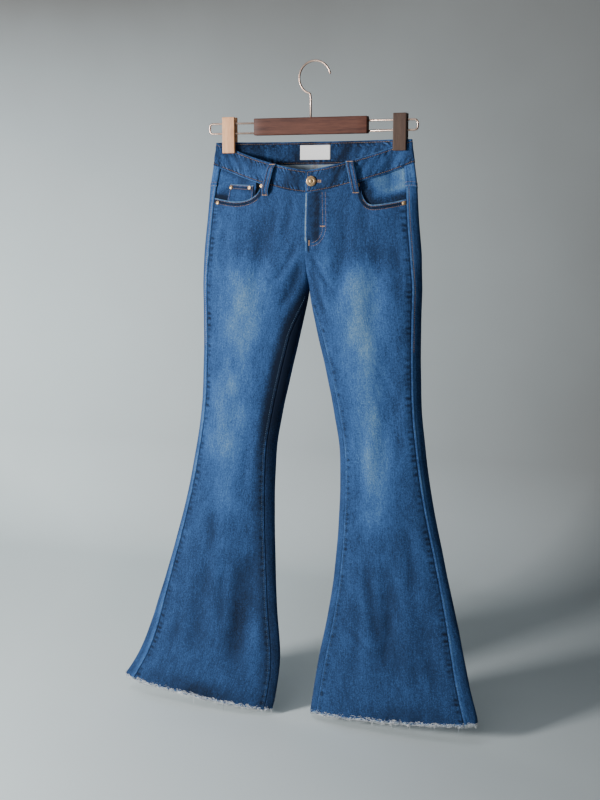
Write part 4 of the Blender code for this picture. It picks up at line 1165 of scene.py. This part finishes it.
def make_coin_pocket(looks):
    """The coin pocket on the right facing, its upper edge slanting, stitched at the top and sides."""
    u = np.linspace(0.575, 0.855, 40)
    heights = between(COIN_TOP - 0.012 * (0.855 - u), np.full(40, COIN_TOP - 0.046), np.linspace(0, 1, 26))
    lift = facing_lift(RIGHT, u, heights) + CLOTH + SEAM_GAP
    points, normals = surface(RIGHT, FRONT, u, heights, lift)
    top = lengths(points, 0)
    worn = 0.10 + 0.75 * bump(top, 0.0013)
    shade = 0.22 + 0.55 * bump(top - 0.006, 0.004)
    coin = Patch(points, normals, worn, shade, CLOTH)
    sew_up("coin_pocket", coin, looks, 0.6)
    stitch_edges(coin, ["top"], (0.0020, 0.0075), pitch=BAND_STITCH)
    stitch_edges(coin, ["left", "right"], [0.0016], pitch=BAND_STITCH)
    return coin


def make_back_pockets(looks):
    """Two patch pockets at the back, narrower below and pointed at the bottom, with a hem across the top."""
    width, height = BACK_POCKET[0] / 2, BACK_POCKET[1]
    s = even(56, 0.6) * 2 - 1
    t = even(58, 0.6)[:, None]
    for side, word in SIDES:
        middle = LEAN[1].centre + side * BACK_POCKET_X
        x = middle + s * width * (1 - 0.12 * t)
        z = BACK_POCKET_TOP - t * height * (1 - 0.2 * np.abs(s))
        u = u_at(side, BACK, x, z)
        points, normals = surface(side, BACK, u, z, CLOTH + LAYER_GAP)
        top = lengths(points, 0)
        rim = np.minimum(lengths(points, 1), lengths(points[:, ::-1], 1)[:, ::-1])
        rim = np.minimum(rim, top[-1] - top)
        worn = 0.34 + 0.65 * bump(top, 0.0014) + 0.45 * bump(rim, 0.0013)
        shade = 0.25 * bump(rim - 0.005, 0.003) + 0.2 * bump(top - 0.016, 0.004)
        raised = -0.0003 * bump(rim - 0.0018, 0.0010) - 0.0004 * bump(top - 0.0145, 0.0014)
        patch = Patch(points + normals * raised[..., None], normals, worn, shade, CLOTH)
        sew_up(f"back_pocket_{word}", patch, looks, 0.5)
        stitch_edges(patch, ["left", "right", "bottom"], BACK_POCKET_ROWS, skip=0.001)
        stitch_edges(patch, ["top"], [0.0135], skip=0.002)


def make_belt_loops(look):
    """Five belt loops: both ends on the cloth and tacked, the middle bowed out, and two low ridges with a
    row of stitching down each."""
    share = even(44, 0.7)[:, None]
    bow = smooth(share / 0.17) * smooth((1 - share) / 0.17)
    out = BAND / 2 + SEAM_GAP + LOOP_THICKNESS / 2 + (LOOP_BOW + SEAM_GAP) * bow
    across = np.linspace(-0.5, 0.5, 13)
    ridges = np.exp(-(((np.abs(across) - 0.30) / 0.08) ** 2)) - 1.2 * bump(across, 0.13)
    worn = 0.06 + 0.30 * bump(np.abs(across) - 0.5, 0.09) + 0.26 * bow * bump(across, 0.14)
    worn = worn + 0.25 * bump(share - 0.03, 0.02)
    shade = 0.25 + 0.30 * bump(np.abs(across) - 0.22, 0.06) + 0 * share
    for loop in BELT_LOOPS:
        middle = loop.top_across + (loop.bottom_across - loop.top_across) * share
        u = torso_u(LEFT, loop.face, abs(loop.top_across), BAND_TOP)
        heights = band_top(LEFT, loop.face, u) - 0.0005 - LOOP_LENGTH * share
        lift = out + 0.00045 * ridges
        points = across_middle(loop.face, middle + across * LOOP_WIDTH, heights, lift)[0]
        patch = Patch(points, normals_of(points, (0, -loop.face, 0)), worn, shade, LOOP_THICKNESS)
        sew_up(loop.name, patch, [look, look], 0.55)
        stitch_edges(patch, ["left", "right"], [0.0028], pitch=LOOP_STITCH, skip=0.004)
        for row in (3, 41):
            bartack(outer_face(patch)[row, 1:-1], patch.normals[row, 1:-1], 0.0010)


def make_label(look):
    """A blank label inside the back of the waistband, sewn along all its edges."""
    across = np.linspace(-0.5, 0.5, 40) * LABEL[0]
    z = between(np.full(40, LABEL_TOP), np.full(40, LABEL_TOP - LABEL[1]), even(20, 0.6))
    inward = -(BAND / 2 + LAYER_GAP + LABEL[2] / 2)
    points, normals = across_middle(BACK, across, z, inward)
    flat = np.zeros(z.shape)
    patch = Patch(points, normals, flat, flat, LABEL[2])
    sew_up("label", patch, [look, look], 0)
    facing = Patch(points, -normals, flat, flat, LABEL[2])
    edges = ["top", "bottom", "left", "right"]
    stitch_edges(facing, edges, [0.0013], "white", pitch=LABEL_STITCH, radius=0.00024)


def turned(name, profile, sides, point, outward, looks):
    """A shape turned about the outward direction at a point, from its (radius, height) outline."""
    radius, height = np.asarray(profile, float).T
    beam, other, out = np.array(Vector(outward).to_track_quat("Z", "Y").to_matrix()).T
    points = rings_round(point + out * height[:, None], beam, other, sides, radius)
    put(f"{name}_metal", ring_mesh(f"{name}_metal", points), looks, name)


def ring_mesh(name, points):
    """A closed mesh from rings of points: an end ring with no width is merged, any other gets a flat end."""
    count, sides = points.shape[:2]
    faces = tube_faces(count, sides).tolist()
    for first, ring in ((0, points[0]), ((count - 1) * sides, points[-1])):
        if np.ptp(ring, axis=0).max() > 1e-6:
            faces.append(list(range(first, first + sides)))
    mesh = bpy.data.meshes.new(name)
    mesh.from_pydata(points.reshape(-1, 3).tolist(), [], faces)
    turned_out(mesh, 1e-7)
    mesh.shade_smooth()
    mesh.set_sharp_from_angle(angle=math.radians(50))
    return mesh


def button_place(band):
    """Where the button's head sits on the left band, and the way out of the cloth there."""
    u = torso_u(LEFT, FRONT, BUTTON_X, BAND_TOP - FRONT_DIP)
    z = float(band_top(LEFT, FRONT, u)) - BAND_HEIGHT / 2
    x = float(along(LEAN, "centre", z)) + BUTTON_X
    points, normals = snug(band, np.array([[x, z]]))
    return points[0], normals[0]


# The radius and height of the button's and a rivet's outline, from the top of the head to its foot
BUTTON_OUTLINE = (
    (0, 0.0034),
    (0.0016, 0.0034),
    (0.0030, 0.0031),
    (0.0041, 0.0027),
    (0.0047, 0.0030),
    (0.0056, 0.0031),
    (0.0064, 0.0028),
    (0.0072, 0.0029),
    (0.0083, 0.0028),
    (0.0089, 0.0022),
    (BUTTON_RADIUS, 0.0014),
    (0.0090, 0.0005),
    (0.0080, 0.0004),
    (0.0024, 0.0004),
    (0.0022, -0.0029),
    (0, -0.0029),
)
RIVET_OUTLINE = (
    (0, 0.0016),
    (0.0008, 0.0016),
    (0.0014, 0.0012),
    (0.0019, 0.0012),
    (0.0026, 0.0013),
    (0.0033, 0.0009),
    (0.0038, 0.0005),
    (0.0039, 0.0001),
    (0.0036, -0.0004),
    (0, -0.0004),
)


def make_metal(looks, band, fronts, coin):
    """The shank button in its stitched buttonhole on the left band, and the domed, rimmed rivets."""
    point, way = button_place(band)
    turned("button", BUTTON_OUTLINE, 48, point + way * 0.0004, way, [looks["brass"]])
    near, far = point[0] + 0.0065, point[0] + 0.0165
    for z in (point[2] - 0.0014, point[2] + 0.0014):
        bartack(*snug(band, np.linspace((near, z), (far, z), 30)), 0.0009, 0.0005)
    ends = (far + 0.0004, point[2] - 0.0022), (far + 0.0004, point[2] + 0.0022)
    bartack(*snug(band, np.linspace(*ends, 8)), 0.0010, 0.0005)
    for rivet in RIVETS:
        middle = float(along(LEAN, "centre", rivet.z))
        place = np.array([[middle + rivet.side * rivet.across, rivet.z]])
        point, way = snug(coin if rivet.on_coin else fronts[FRONT, rivet.side], place)
        turned(rivet.name, RIVET_OUTLINE, 32, point[0], way[0], [looks["brass"]])


def hem_ring(side, count, above):
    """Points and outward directions round a hem: along the front from the inseam, then back again."""
    share = np.linspace(0, 1, count // 2 + 1)
    rings = []
    for face, u in ((FRONT, share), (BACK, share[::-1][1:])):
        edge = hem(face, side, u)
        points, normals = surface(side, face, u, np.stack([edge + above, edge + above + 0.001]))
        rings.append((points[0], normals[0]))
    return [np.concatenate(pair) for pair in zip(*rings)]


# A loose thread's width at seven places along it
FRAY_WIDTH = np.array([0.6, 1, 1, 1, 0.95, 0.8, 0.2])


def make_fringes(look, tries=3400):
    """The frayed hems: loose wavy threads in tufts along each raw edge, most lying along it and four in ten
    hanging from it. One in five keeps the blue dye."""
    chance = np.random.default_rng(11)
    for side, word in SIDES:
        ring, out = hem_ring(side, 400, 0.0006)
        run = lengths(ring, 0)
        start = chance.uniform(0, run[-1], tries)
        tuft = smooth(0.5 + 0.6 * wobble(start, 0.014, 0.7 + side) + 0.5 * wobble(start, 0.0052, 2.0 + side))
        kept = chance.random(tries) < 0.10 + 0.75 * tuft
        start, tuft = start[kept], tuft[kept]
        count = len(start)
        hanging = chance.random(count) < 0.40
        t = np.linspace(0, 1, 7)
        short = (chance.gamma(2.0, 0.0012, count) + 0.0010) * (0.5 + 0.8 * tuft)
        length = np.where(hanging, short, chance.gamma(2.0, 0.0040, count) + 0.003)
        spread = np.where(hanging, chance.normal(0, 0.0016, count), length)
        at = start[:, None] + spread[:, None] * t
        at = np.clip(at, 0.0005, run[-1] - 0.0005)
        base, way = values_at(at, run, ring), values_at(at, run, out)
        hanging = hanging[:, None]
        turns = chance.uniform(0.6, 2.2, count)[:, None]
        wave = np.sin(2 * math.pi * (t * turns + chance.random(count)[:, None]))
        high = chance.normal(-0.0018, 0.0014, count) + 0.0066 * tuft * chance.random(count)
        drop = 0.0022 - (length[:, None] + 0.0022) * t
        up = np.where(hanging, drop, high[:, None] + 0.0014 * wave)
        off = np.where(hanging, 0.0001, chance.normal(0.0002, 0.0006, count)[:, None]) + 0.0006 * wave
        sway = np.where(hanging, chance.normal(0, 0.0010, count)[:, None], 0) * t**1.5
        middle = base + way * (off + sway)[..., None] + np.array([0, 0, 1]) * up[..., None]
        radius = chance.uniform(0.00020, 0.00042, count)[:, None] * FRAY_WIDTH
        along_thread = unit(np.gradient(middle, axis=1))
        beam = unit(np.cross(along_thread, way + 0.01))
        points = rings_round(middle, beam, np.cross(beam, along_thread), 3, radius)
        sides = tube_faces(7, 3)
        tris = np.concatenate([sides[:, :3], sides[:, (0, 2, 3)], [[0, 2, 1], [18, 19, 20]]])
        faces = (np.arange(count)[:, None, None] * 21 + tris).reshape(-1, 3)
        tone = np.repeat(np.where(chance.random(count) < 0.22, 0.0, 0.45 + 0.55 * chance.random(count)), 21)
        mesh = mesh_from(f"fringe_{word}_threads", points.reshape(-1, 3), faces, tone=tone)
        put(f"fringe_{word}_threads", mesh, [look], f"fringe_{word}")


def tube(name, path, radius, looks, node):
    """A round wire along a path in the plane y = 0: each end runs on by 0.4 of its radius, narrower."""
    path = np.insert(np.asarray(path, float), 1, 0, axis=1)
    way = unit(np.gradient(path, axis=0))
    ends = path[0] - way[0] * radius * 0.4, path[-1] + way[-1] * radius * 0.4
    path = np.concatenate([[ends[0]], path, [ends[1]]])
    way = np.concatenate([way[:1], way, way[-1:]])
    widths = np.ones(len(path))
    widths[[0, -1]] = 0.72
    depth = np.array([0.0, 1.0, 0.0])
    points = rings_round(path, np.cross(way, depth), depth, 20, widths * radius)
    put(name, ring_mesh(name, points), looks, node)


def make_wires(look):
    """The hook, an open circle on a bent stem, and the two rail loops with their bent ends."""
    centre = -(HOOK_RADIUS - WIRE / 2)
    start, end = math.radians(218), math.radians(12)
    foot = (HANGER_X, BAR_Z + BAR_SIZE[2] / 2 - 0.010)
    neck = np.array([HANGER_X, -0.064])
    join = np.array([math.cos(start), math.sin(start)]) * HOOK_RADIUS + (0, centre)
    heading = np.array([math.sin(start), -math.cos(start)])
    t = np.linspace(0, 1, 24)[:, None]
    reach = 0.018
    one, two = neck + (0, reach), join - heading * reach
    stem = (1 - t) ** 3 * neck + 3 * t * (1 - t) ** 2 * one + 3 * t**2 * (1 - t) * two + t**3 * join
    angles = np.linspace(start, end, 72)[1:]
    circle = np.stack([np.cos(angles), np.sin(angles)], axis=1) * HOOK_RADIUS + (0, centre)
    tube("hook_wire", np.concatenate([[foot], stem, circle]), WIRE / 2, [look], "hook")
    bend_radius = 0.0060
    inside = BAR_SIZE[0] / 2 - 0.015
    outside = RAIL_HALF - WIRE / 2 - bend_radius
    corner = np.linspace(0, math.pi / 2, 12)
    bend = np.stack([np.sin(corner), np.cos(corner) - 1], axis=1) * bend_radius
    upper = np.concatenate([[(inside, RAIL_PITCH / 2)], bend + (outside, RAIL_PITCH / 2)])
    path = np.concatenate([upper, upper[::-1] * (1, -1)])
    for side, word in SIDES:
        points = path * (side, 1) + (HANGER_X, RAIL_Z)
        tube(f"rail_{word}_wire", points, WIRE / 2, [look], f"rail_{word}")


def rounded_block(name, size, centre, bevel, looks, node):
    """A block with rounded edges, its faces cut fine."""
    shape = bmesh.new()
    bmesh.ops.create_cube(shape, size=1)
    bmesh.ops.scale(shape, vec=size, verts=shape.verts)
    bmesh.ops.bevel(shape, geom=shape.edges, offset=bevel, segments=4, profile=0.5, affect="EDGES")
    for axis, pieces in ((0, 10), (2, 12)):
        for step in np.linspace(-0.5, 0.5, pieces + 1)[1:-1]:
            normal = np.eye(3)[axis]
            geometry = shape.verts[:] + shape.edges[:] + shape.faces[:]
            spot = normal * step * size[axis]
            bmesh.ops.bisect_plane(shape, geom=geometry, plane_co=spot, plane_no=normal)
    bmesh.ops.translate(shape, vec=centre, verts=shape.verts)
    mesh = bpy.data.meshes.new(name)
    shape.to_mesh(mesh)
    shape.free()
    mesh.shade_smooth()
    mesh.set_sharp_from_angle(angle=math.radians(40))
    put(name, mesh, looks, node)


def make_hanger(looks):
    """The wooden bar, and two clips, each a metal slide between two wooden jaws."""
    make_wires(looks["rose"])
    rounded_block("bar_wood", BAR_SIZE, (HANGER_X, 0, BAR_Z), 0.0016, [looks["bar"]], "bar")
    opening = 2 * PINCHED_HALF + BAND + 2 * FIT
    thickness, height = JAW_SIZE[1:]
    slide = (SLIDE_SIZE[0], opening - 2 * FIT, SLIDE_SIZE[1])
    for side, word in SIDES:
        x = CLIP_X + side * CLIP_REACH
        for sign, place_word in ((-1, "front"), (1, "back")):
            centre = (x, sign * (opening + thickness) / 2, JAW_TOP - height / 2)
            node = f"clip_{word}_{place_word}_jaw"
            wood_look = [looks[f"clip_{word}"]]
            rounded_block(f"{node}_wood", JAW_SIZE, centre, 0.0010, wood_look, node)
        node = f"clip_{word}_slide"
        rounded_block(f"{node}_metal", slide, (x, 0, RAIL_Z), 0.0005, [looks["rose"]], node)


def node(tree, kind, inputs=(), **settings):
    """Adds a node: its settings, then its inputs by name or number, each a value or another node's output."""
    made = tree.nodes.new(f"ShaderNode{kind}")
    for key, value in settings.items():
        setattr(made, key, value)
    for key, value in dict(inputs).items():
        if isinstance(value, bpy.types.NodeSocket):
            tree.links.new(value, made.inputs[key])
        else:
            made.inputs[key].default_value = value
    return made


def calc(tree, operation, *values, clamp=False):
    """A Math node's output."""
    return node(tree, "Math", dict(enumerate(values)), operation=operation, use_clamp=clamp).outputs[0]


def centred(tree, value):
    """The value less a half: a noise that adds as much as it takes away."""
    return calc(tree, "SUBTRACT", value, 0.5)


def object_place(tree):
    """The place in metres on the object."""
    return node(tree, "TexCoord").outputs["Object"]


def point_value(tree, name):
    """A value that the mesh holds for each point."""
    return node(tree, "Attribute", attribute_name=name).outputs["Fac"]


def cloth_map(tree):
    """The cloth's own map in metres."""
    return node(tree, "UVMap", uv_map="cloth").outputs[0]


def stretched(tree, vector, scale):
    """The vector with each axis multiplied: a pattern on it is drawn out along the smaller numbers."""
    return node(tree, "Mapping", {"Vector": vector, "Scale": scale}).outputs[0]


def noise(tree, vector, scale, detail=2.0, roughness=0.5):
    """A Noise Texture's value."""
    inputs = {"Vector": vector, "Scale": scale, "Detail": detail, "Roughness": roughness}
    return node(tree, "TexNoise", inputs).outputs[0]


def ramp(tree, value, stops):
    """A Color Ramp's colour: stops of (place, red, green, blue)."""
    made = node(tree, "ValToRGB", {0: value})
    band = made.color_ramp
    while len(band.elements) < len(stops):
        band.elements.new(0.5)
    for element, stop in zip(band.elements, stops):
        element.position = stop[0]
        element.color = (*stop[1:], 1)
    return made.outputs[0]


def group(name, inputs, outputs):
    """A new shader node group with its sockets, and its input and output nodes."""
    tree = bpy.data.node_groups.new(name, "ShaderNodeTree")
    for socket, kind in inputs:
        tree.interface.new_socket(socket, in_out="INPUT", socket_type=f"NodeSocket{kind}")
    for socket, kind in outputs:
        tree.interface.new_socket(socket, in_out="OUTPUT", socket_type=f"NodeSocket{kind}")
    return tree, tree.nodes.new("NodeGroupInput").outputs, tree.nodes.new("NodeGroupOutput").inputs


def weave_group():
    """Denim's weave from a map in metres: a grain that changes its colour, and the height of its yarns.
    Each is a weighted sum of noises drawn out along the warp or the weft, and of the twill's ribs."""
    tree, given, result = group("denim_weave", [("Map", "Vector")], [("Grain", "Float"), ("Height", "Float")])
    cloth = given["Map"]
    warp = noise(tree, stretched(tree, cloth, (1400, 130, 1)), 1.0, 2.0, 0.6)
    slub = noise(tree, stretched(tree, cloth, (430, 26, 1)), 1.0, 3.0, 0.6)
    weft = noise(tree, stretched(tree, cloth, (150, 1100, 1)), 1.0, 2.0, 0.6)
    speck = noise(tree, stretched(tree, cloth, (560, 400, 1)), 1.0, 3.0, 0.8)
    mottle = noise(tree, stretched(tree, cloth, (38, 20, 1)), 1.0, 3.0, 0.6)
    twill = node(tree, "TexWave", {"Vector": cloth, "Scale": 210.0, "Distortion": 1.2, "Detail": 1.0},
                 bands_direction="DIAGONAL").outputs["Fac"]
    grain = calc(tree, "MULTIPLY", centred(tree, warp), 0.9)
    for part, weight in ((slub, 0.75), (weft, 0.70), (speck, 1.50), (mottle, 0.80), (twill, 0.16)):
        grain = calc(tree, "MULTIPLY_ADD", centred(tree, part), weight, grain)
    tree.links.new(grain, result["Grain"])
    height = calc(tree, "MULTIPLY", warp, 0.9)
    for part, weight in ((twill, 0.55), (slub, 0.8), (weft, 0.5)):
        height = calc(tree, "MULTIPLY_ADD", part, weight, height)
    tree.links.new(height, result["Height"])
    return tree


def material(name, colour, roughness, height=None, strength=0.3, metallic=0.0, distance=0.001, **constants):
    """A Principled material. Its colour and roughness are values or functions of the node tree, and its
    height is a function."""
    made = bpy.data.materials.new(name)
    made.use_nodes = True
    tree = made.node_tree
    shader = tree.nodes["Principled BSDF"]
    for socket, value in (("Base Color", colour), ("Roughness", roughness), ("Metallic", metallic)):
        if callable(value):
            tree.links.new(value(tree), shader.inputs[socket])
        else:
            shader.inputs[socket].default_value = value
    for socket, value in constants.items():
        shader.inputs[socket.replace("_", " ")].default_value = value
    if height:
        inputs = {"Height": height(tree), "Strength": strength, "Distance": distance}
        tree.links.new(node(tree, "Bump", inputs).outputs[0], shader.inputs["Normal"])
    return made


# Stops of the colour ramps: a place, then red, green and blue
DENIM_STOPS = (
    (0.00, 0.005, 0.011, 0.028),
    (0.20, 0.014, 0.039, 0.108),
    (0.38, 0.035, 0.099, 0.262),
    (0.56, 0.090, 0.184, 0.316),
    (0.74, 0.185, 0.300, 0.385),
    (1.00, 0.680, 0.730, 0.750),
)
REVERSE_STOPS = (
    (0.00, 0.090, 0.120, 0.160),
    (0.30, 0.190, 0.235, 0.280),
    (0.60, 0.330, 0.380, 0.420),
    (1.00, 0.640, 0.680, 0.700),
)


PAPER_STOPS = (
    (0.00, 0.800, 0.900, 0.920),
    (0.50, 0.450, 0.500, 0.520),
    (1.00, 0.150, 0.148, 0.144),
)


def denim(name, weave, stops, start, grain, shade_depth):
    """Denim. Its place among the dye's stops is a start, plus the wear, less the shade, plus the grain and a
    speckle, both of which are livelier where the cloth is worn."""

    def weave_of(tree):
        made = node(tree, "Group", node_tree=weave)
        tree.links.new(cloth_map(tree), made.inputs["Map"])
        return made.outputs

    def colour(tree):
        worn = point_value(tree, "worn")
        level = calc(tree, "MULTIPLY_ADD", worn, 0.47, start)
        level = calc(tree, "MULTIPLY_ADD", point_value(tree, "shade"), -shade_depth, level)
        lively = calc(tree, "MULTIPLY_ADD", calc(tree, "MINIMUM", worn, 0.8), 0.5, 0.8)
        woven = calc(tree, "MULTIPLY", weave_of(tree)["Grain"], grain)
        speckle = noise(tree, stretched(tree, object_place(tree), (430, 430, 300)), 1.0, 3.0, 0.7)
        speckle = calc(tree, "MULTIPLY", centred(tree, speckle), 0.46)
        for part in (woven, speckle):
            level = calc(tree, "MULTIPLY_ADD", part, lively, level)
        return ramp(tree, level, stops)

    def height(tree):
        return weave_of(tree)["Height"]

    sheen = {"Sheen_Weight": 0.02, "Specular_IOR_Level": 0.15}
    return material(name, colour, 0.86, height, 0.45, distance=0.0004, **sheen)


def wood(name, dark, light, scale, roughness, coat):
    """Wood with drawn-out grain on object coordinates, darker in its pores."""

    def grain(tree):
        place = object_place(tree)
        long = noise(tree, stretched(tree, place, scale), 1.0, 4.0, 0.65)
        fine = noise(tree, stretched(tree, place, [6 * s for s in scale]), 1.0, 3.0, 0.6)
        return calc(tree, "MULTIPLY_ADD", fine, 0.45, calc(tree, "MULTIPLY", long, 0.75))

    def colour(tree):
        mid = [(a + b) / 2 for a, b in zip(dark, light)]
        return ramp(tree, grain(tree), ((0.38, *dark), (0.58, *mid), (0.80, *light)))

    finish = {"Coat_Weight": coat, "Coat_Roughness": 0.25, "Specular_IOR_Level": 0.25}
    return material(name, colour, roughness, grain, 0.25, distance=0.0006, **finish)


def thread(name, dark, light):
    """Thread: each length has its own tone, with a fine twist."""

    def colour(tree):
        tone = calc(tree, "MULTIPLY", point_value(tree, "tone"), 0.6)
        level = calc(tree, "MULTIPLY_ADD", noise(tree, object_place(tree), 900.0), 0.5, tone)
        return ramp(tree, level, ((0.1, *dark), (0.9, *light)))

    def twist(tree):
        return noise(tree, object_place(tree), 2600.0, 1.0)

    return material(name, colour, 0.8, twist, 0.4, distance=0.0002)


def metal(name, dark, light, low, high):
    """Metal with tarnish: darker and rougher in patches, with fine scratches."""

    def patches(tree):
        place = object_place(tree)
        coarse = noise(tree, place, 420.0, 3.0, 0.6)
        fine = noise(tree, stretched(tree, place, (300, 300, 2600)), 1.0, 2.0)
        return calc(tree, "MULTIPLY_ADD", fine, 0.35, calc(tree, "MULTIPLY", coarse, 0.8))

    def colour(tree):
        return ramp(tree, patches(tree), ((0.35, *dark), (0.70, *light)))

    def roughness(tree):
        return node(tree, "MapRange", {0: patches(tree), 1: 0.3, 2: 0.8, 3: high, 4: low}).outputs[0]

    return material(name, colour, roughness, patches, 0.15, metallic=1.0, distance=0.0003)


# The clip wood's dark and light grain, in two copies of one lacquered wood: the right clip's is pale with a
# painted highlight, the key light's reflection in its lacquer, and the left clip's is darker and greyer with
# painted shade.
CLIP_WOOD_LIT_AND_SHADED = {
    RIGHT: ((0.480, 0.200, 0.085), (0.860, 0.470, 0.240)),
    LEFT: ((0.036, 0.017, 0.012), (0.092, 0.052, 0.036)),
}


def make_looks():
    """Every look by the name that the pieces ask for it."""
    weave = weave_group()
    lengthways, upright = (9, 90, 120), (110, 110, 12)
    return {
        "denim": denim("denim", weave, DENIM_STOPS, 0.238, 0.34, 0.27),
        # The waistband's inside: a darker copy of the denim, painted shade inside the waist.
        "inside": denim("denim_inside_painted_shade", weave, DENIM_STOPS, 0.20, 0.44, 0.30),
        "reverse": denim("denim_reverse", weave, REVERSE_STOPS, 0.30, 0.40, 0.10),
        "tan": thread("thread_tan", (0.26, 0.13, 0.06), (0.62, 0.38, 0.21)),
        "tonal": thread("thread_blue", (0.03, 0.07, 0.14), (0.10, 0.18, 0.28)),
        "white": thread("thread_white", (0.60, 0.60, 0.60), (0.85, 0.85, 0.85)),
        "fray": thread("fray_cotton", (0.08, 0.13, 0.20), (0.96, 0.97, 0.97)),
        "label": label_look(),
        "brass": metal("antique_brass", (0.16, 0.09, 0.05), (0.62, 0.43, 0.24), 0.28, 0.55),
        "rose": metal("rose_metal", (0.30, 0.19, 0.15), (0.66, 0.47, 0.38), 0.20, 0.42),
        "bar": wood("bar_wood", (0.040, 0.010, 0.007), (0.128, 0.045, 0.028), lengthways, 0.62, 0.05),
        # The two clips share one wood, painted lit on the right clip and painted shaded on the left.
        "clip_right": wood("clip_wood_painted_highlight", *CLIP_WOOD_LIT_AND_SHADED[RIGHT], upright, 0.5, 0.1),
        "clip_left": wood("clip_wood_painted_shade", *CLIP_WOOD_LIT_AND_SHADED[LEFT], upright, 0.5, 0.1),
    }


def label_look():
    """White woven satin, with a fine ribbed weave."""

    def rib(tree):
        return noise(tree, stretched(tree, cloth_map(tree), (300, 2600, 1)), 1.0, 2.0)

    def colour(tree):
        return ramp(tree, rib(tree), ((0.3, 0.92, 0.92, 0.93), (0.7, 0.98, 0.98, 0.98)))

    return material("label_satin", colour, 0.55, rib, 0.3, distance=0.0003, Sheen_Weight=0.2)


def open_behind(look):
    """Lets the paper be seen through from behind, so that the jeans show from every side."""
    tree = look.node_tree
    output = next(item for item in tree.nodes if item.type == "OUTPUT_MATERIAL")
    paper = output.inputs["Surface"].links[0].from_socket
    behind = node(tree, "NewGeometry").outputs["Backfacing"]
    clear = node(tree, "BsdfTransparent").outputs[0]
    mixed = node(tree, "MixShader", {0: behind, 1: paper, 2: clear}).outputs[0]
    tree.links.new(mixed, output.inputs["Surface"])
    return look


def paper_painted_light(tree):
    """Paper with painted light: pale on the left where the key light falls and dark on the right where it
    falls off, darker towards the top, paler on the floor, faintly mottled.
    """
    place = object_place(tree)
    axes = node(tree, "SeparateXYZ", {0: place}).outputs
    across = calc(tree, "MULTIPLY_ADD", axes[1], 0.32, calc(tree, "MULTIPLY", axes[0], 0.95))
    level = calc(tree, "MULTIPLY_ADD", across, 0.42, 0.5)
    steep = calc(tree, "MULTIPLY_ADD", across, -0.36, 0.36)
    above = calc(tree, "MAXIMUM", calc(tree, "ADD", axes[2], 0.75), 0.0)
    level = calc(tree, "MULTIPLY_ADD", calc(tree, "MULTIPLY", above, above), steep, level)
    low = calc(tree, "MULTIPLY_ADD", axes[2], -4.0, -3.8, clamp=True)
    level = calc(tree, "MULTIPLY_ADD", low, -0.25, level)
    mottle = noise(tree, place, 2.2, 3.0)
    level = calc(tree, "MULTIPLY_ADD", mottle, 0.12, calc(tree, "SUBTRACT", level, 0.06))
    return ramp(tree, level, PAPER_STOPS)


def paper_tooth(tree):
    """The paper's fine bumps."""
    return noise(tree, object_place(tree), 220.0, 3.0)


def make_backdrop():
    """A floor that curves up into a wall."""
    turn = np.linspace(0, math.pi / 2, 16)
    profile = [(STAGE_NEAR, FLOOR)]
    profile += [(WALL - COVE + COVE * math.sin(a), FLOOR + COVE - COVE * math.cos(a)) for a in turn]
    profile += [(WALL, WALL_TOP)]
    points = [(x, y, z) for y, z in profile for x in (-STAGE_HALF, STAGE_HALF)]
    faces = [(2 * i, 2 * i + 1, 2 * i + 3, 2 * i + 2) for i in range(len(profile) - 1)]
    mesh = bpy.data.meshes.new("backdrop")
    mesh.from_pydata(points, [], faces)
    mesh.shade_smooth()
    mesh.materials.append(open_behind(material("backdrop_paper", paper_painted_light, 0.9, paper_tooth, 0.05)))
    backdrop = bpy.data.objects.new("backdrop", mesh)
    bpy.context.scene.collection.objects.link(backdrop)


def make_lights():
    """A key light from the viewer's left, weak ones from the top and from behind, and a dim pale world, which
    the camera sees brighter than the cloth does."""
    for light in LIGHTS:
        lamp = bpy.data.lights.new(light.name, "AREA")
        lamp.energy = light.power
        lamp.size = light.size
        lamp.color = light.colour
        holder = bpy.data.objects.new(light.name, lamp)
        holder.location = light.place
        way = Vector(light.aim) - Vector(light.place)
        holder.rotation_euler = way.to_track_quat("-Z", "Y").to_euler()
        bpy.context.scene.collection.objects.link(holder)
    world = bpy.data.worlds.new("studio")
    world.use_nodes = True
    tree = world.node_tree
    background = tree.nodes["Background"].inputs
    background["Color"].default_value = (0.92, 0.96, 1.0, 1)
    seen = calc(tree, "MULTIPLY_ADD", node(tree, "LightPath").outputs["Is Camera Ray"], 0.30, 0.10)
    tree.links.new(seen, background["Strength"])
    bpy.context.scene.world = world


def make_camera():
    """The photo's viewpoint: in front and to the right of the jeans, looking slightly down."""
    lens = bpy.data.cameras.new("camera")
    lens.sensor_fit = "VERTICAL"
    lens.sensor_height = 36
    lens.lens = CAMERA_LENS
    camera = bpy.data.objects.new("camera", lens)
    camera.location = CAMERA_PLACE
    camera.rotation_euler = (math.pi / 2 - CAMERA_PITCH, 0, CAMERA_HEADING)
    bpy.context.scene.collection.objects.link(camera)
    bpy.context.scene.camera = camera


def main():
    """Builds the jeans from the cloth outwards, then the hanger and the studio."""
    looks = make_looks()
    cloth = [looks["denim"], looks["reverse"]]
    patches = make_panels(cloth)
    make_yokes(cloth)
    left_band = make_waistband(looks["denim"], looks["inside"])
    make_fly(cloth, patches)
    coin = make_pockets(cloth, patches)
    make_belt_loops(looks["denim"])
    make_label(looks["label"])
    make_metal(looks, left_band, patches, coin)
    make_fringes(looks["fray"])
    for colour in list(STITCHES):
        sew_thread(f"stitching_{colour}", colour, looks[colour])
    make_hanger(looks)
    make_backdrop()
    make_lights()
    make_camera()


main()
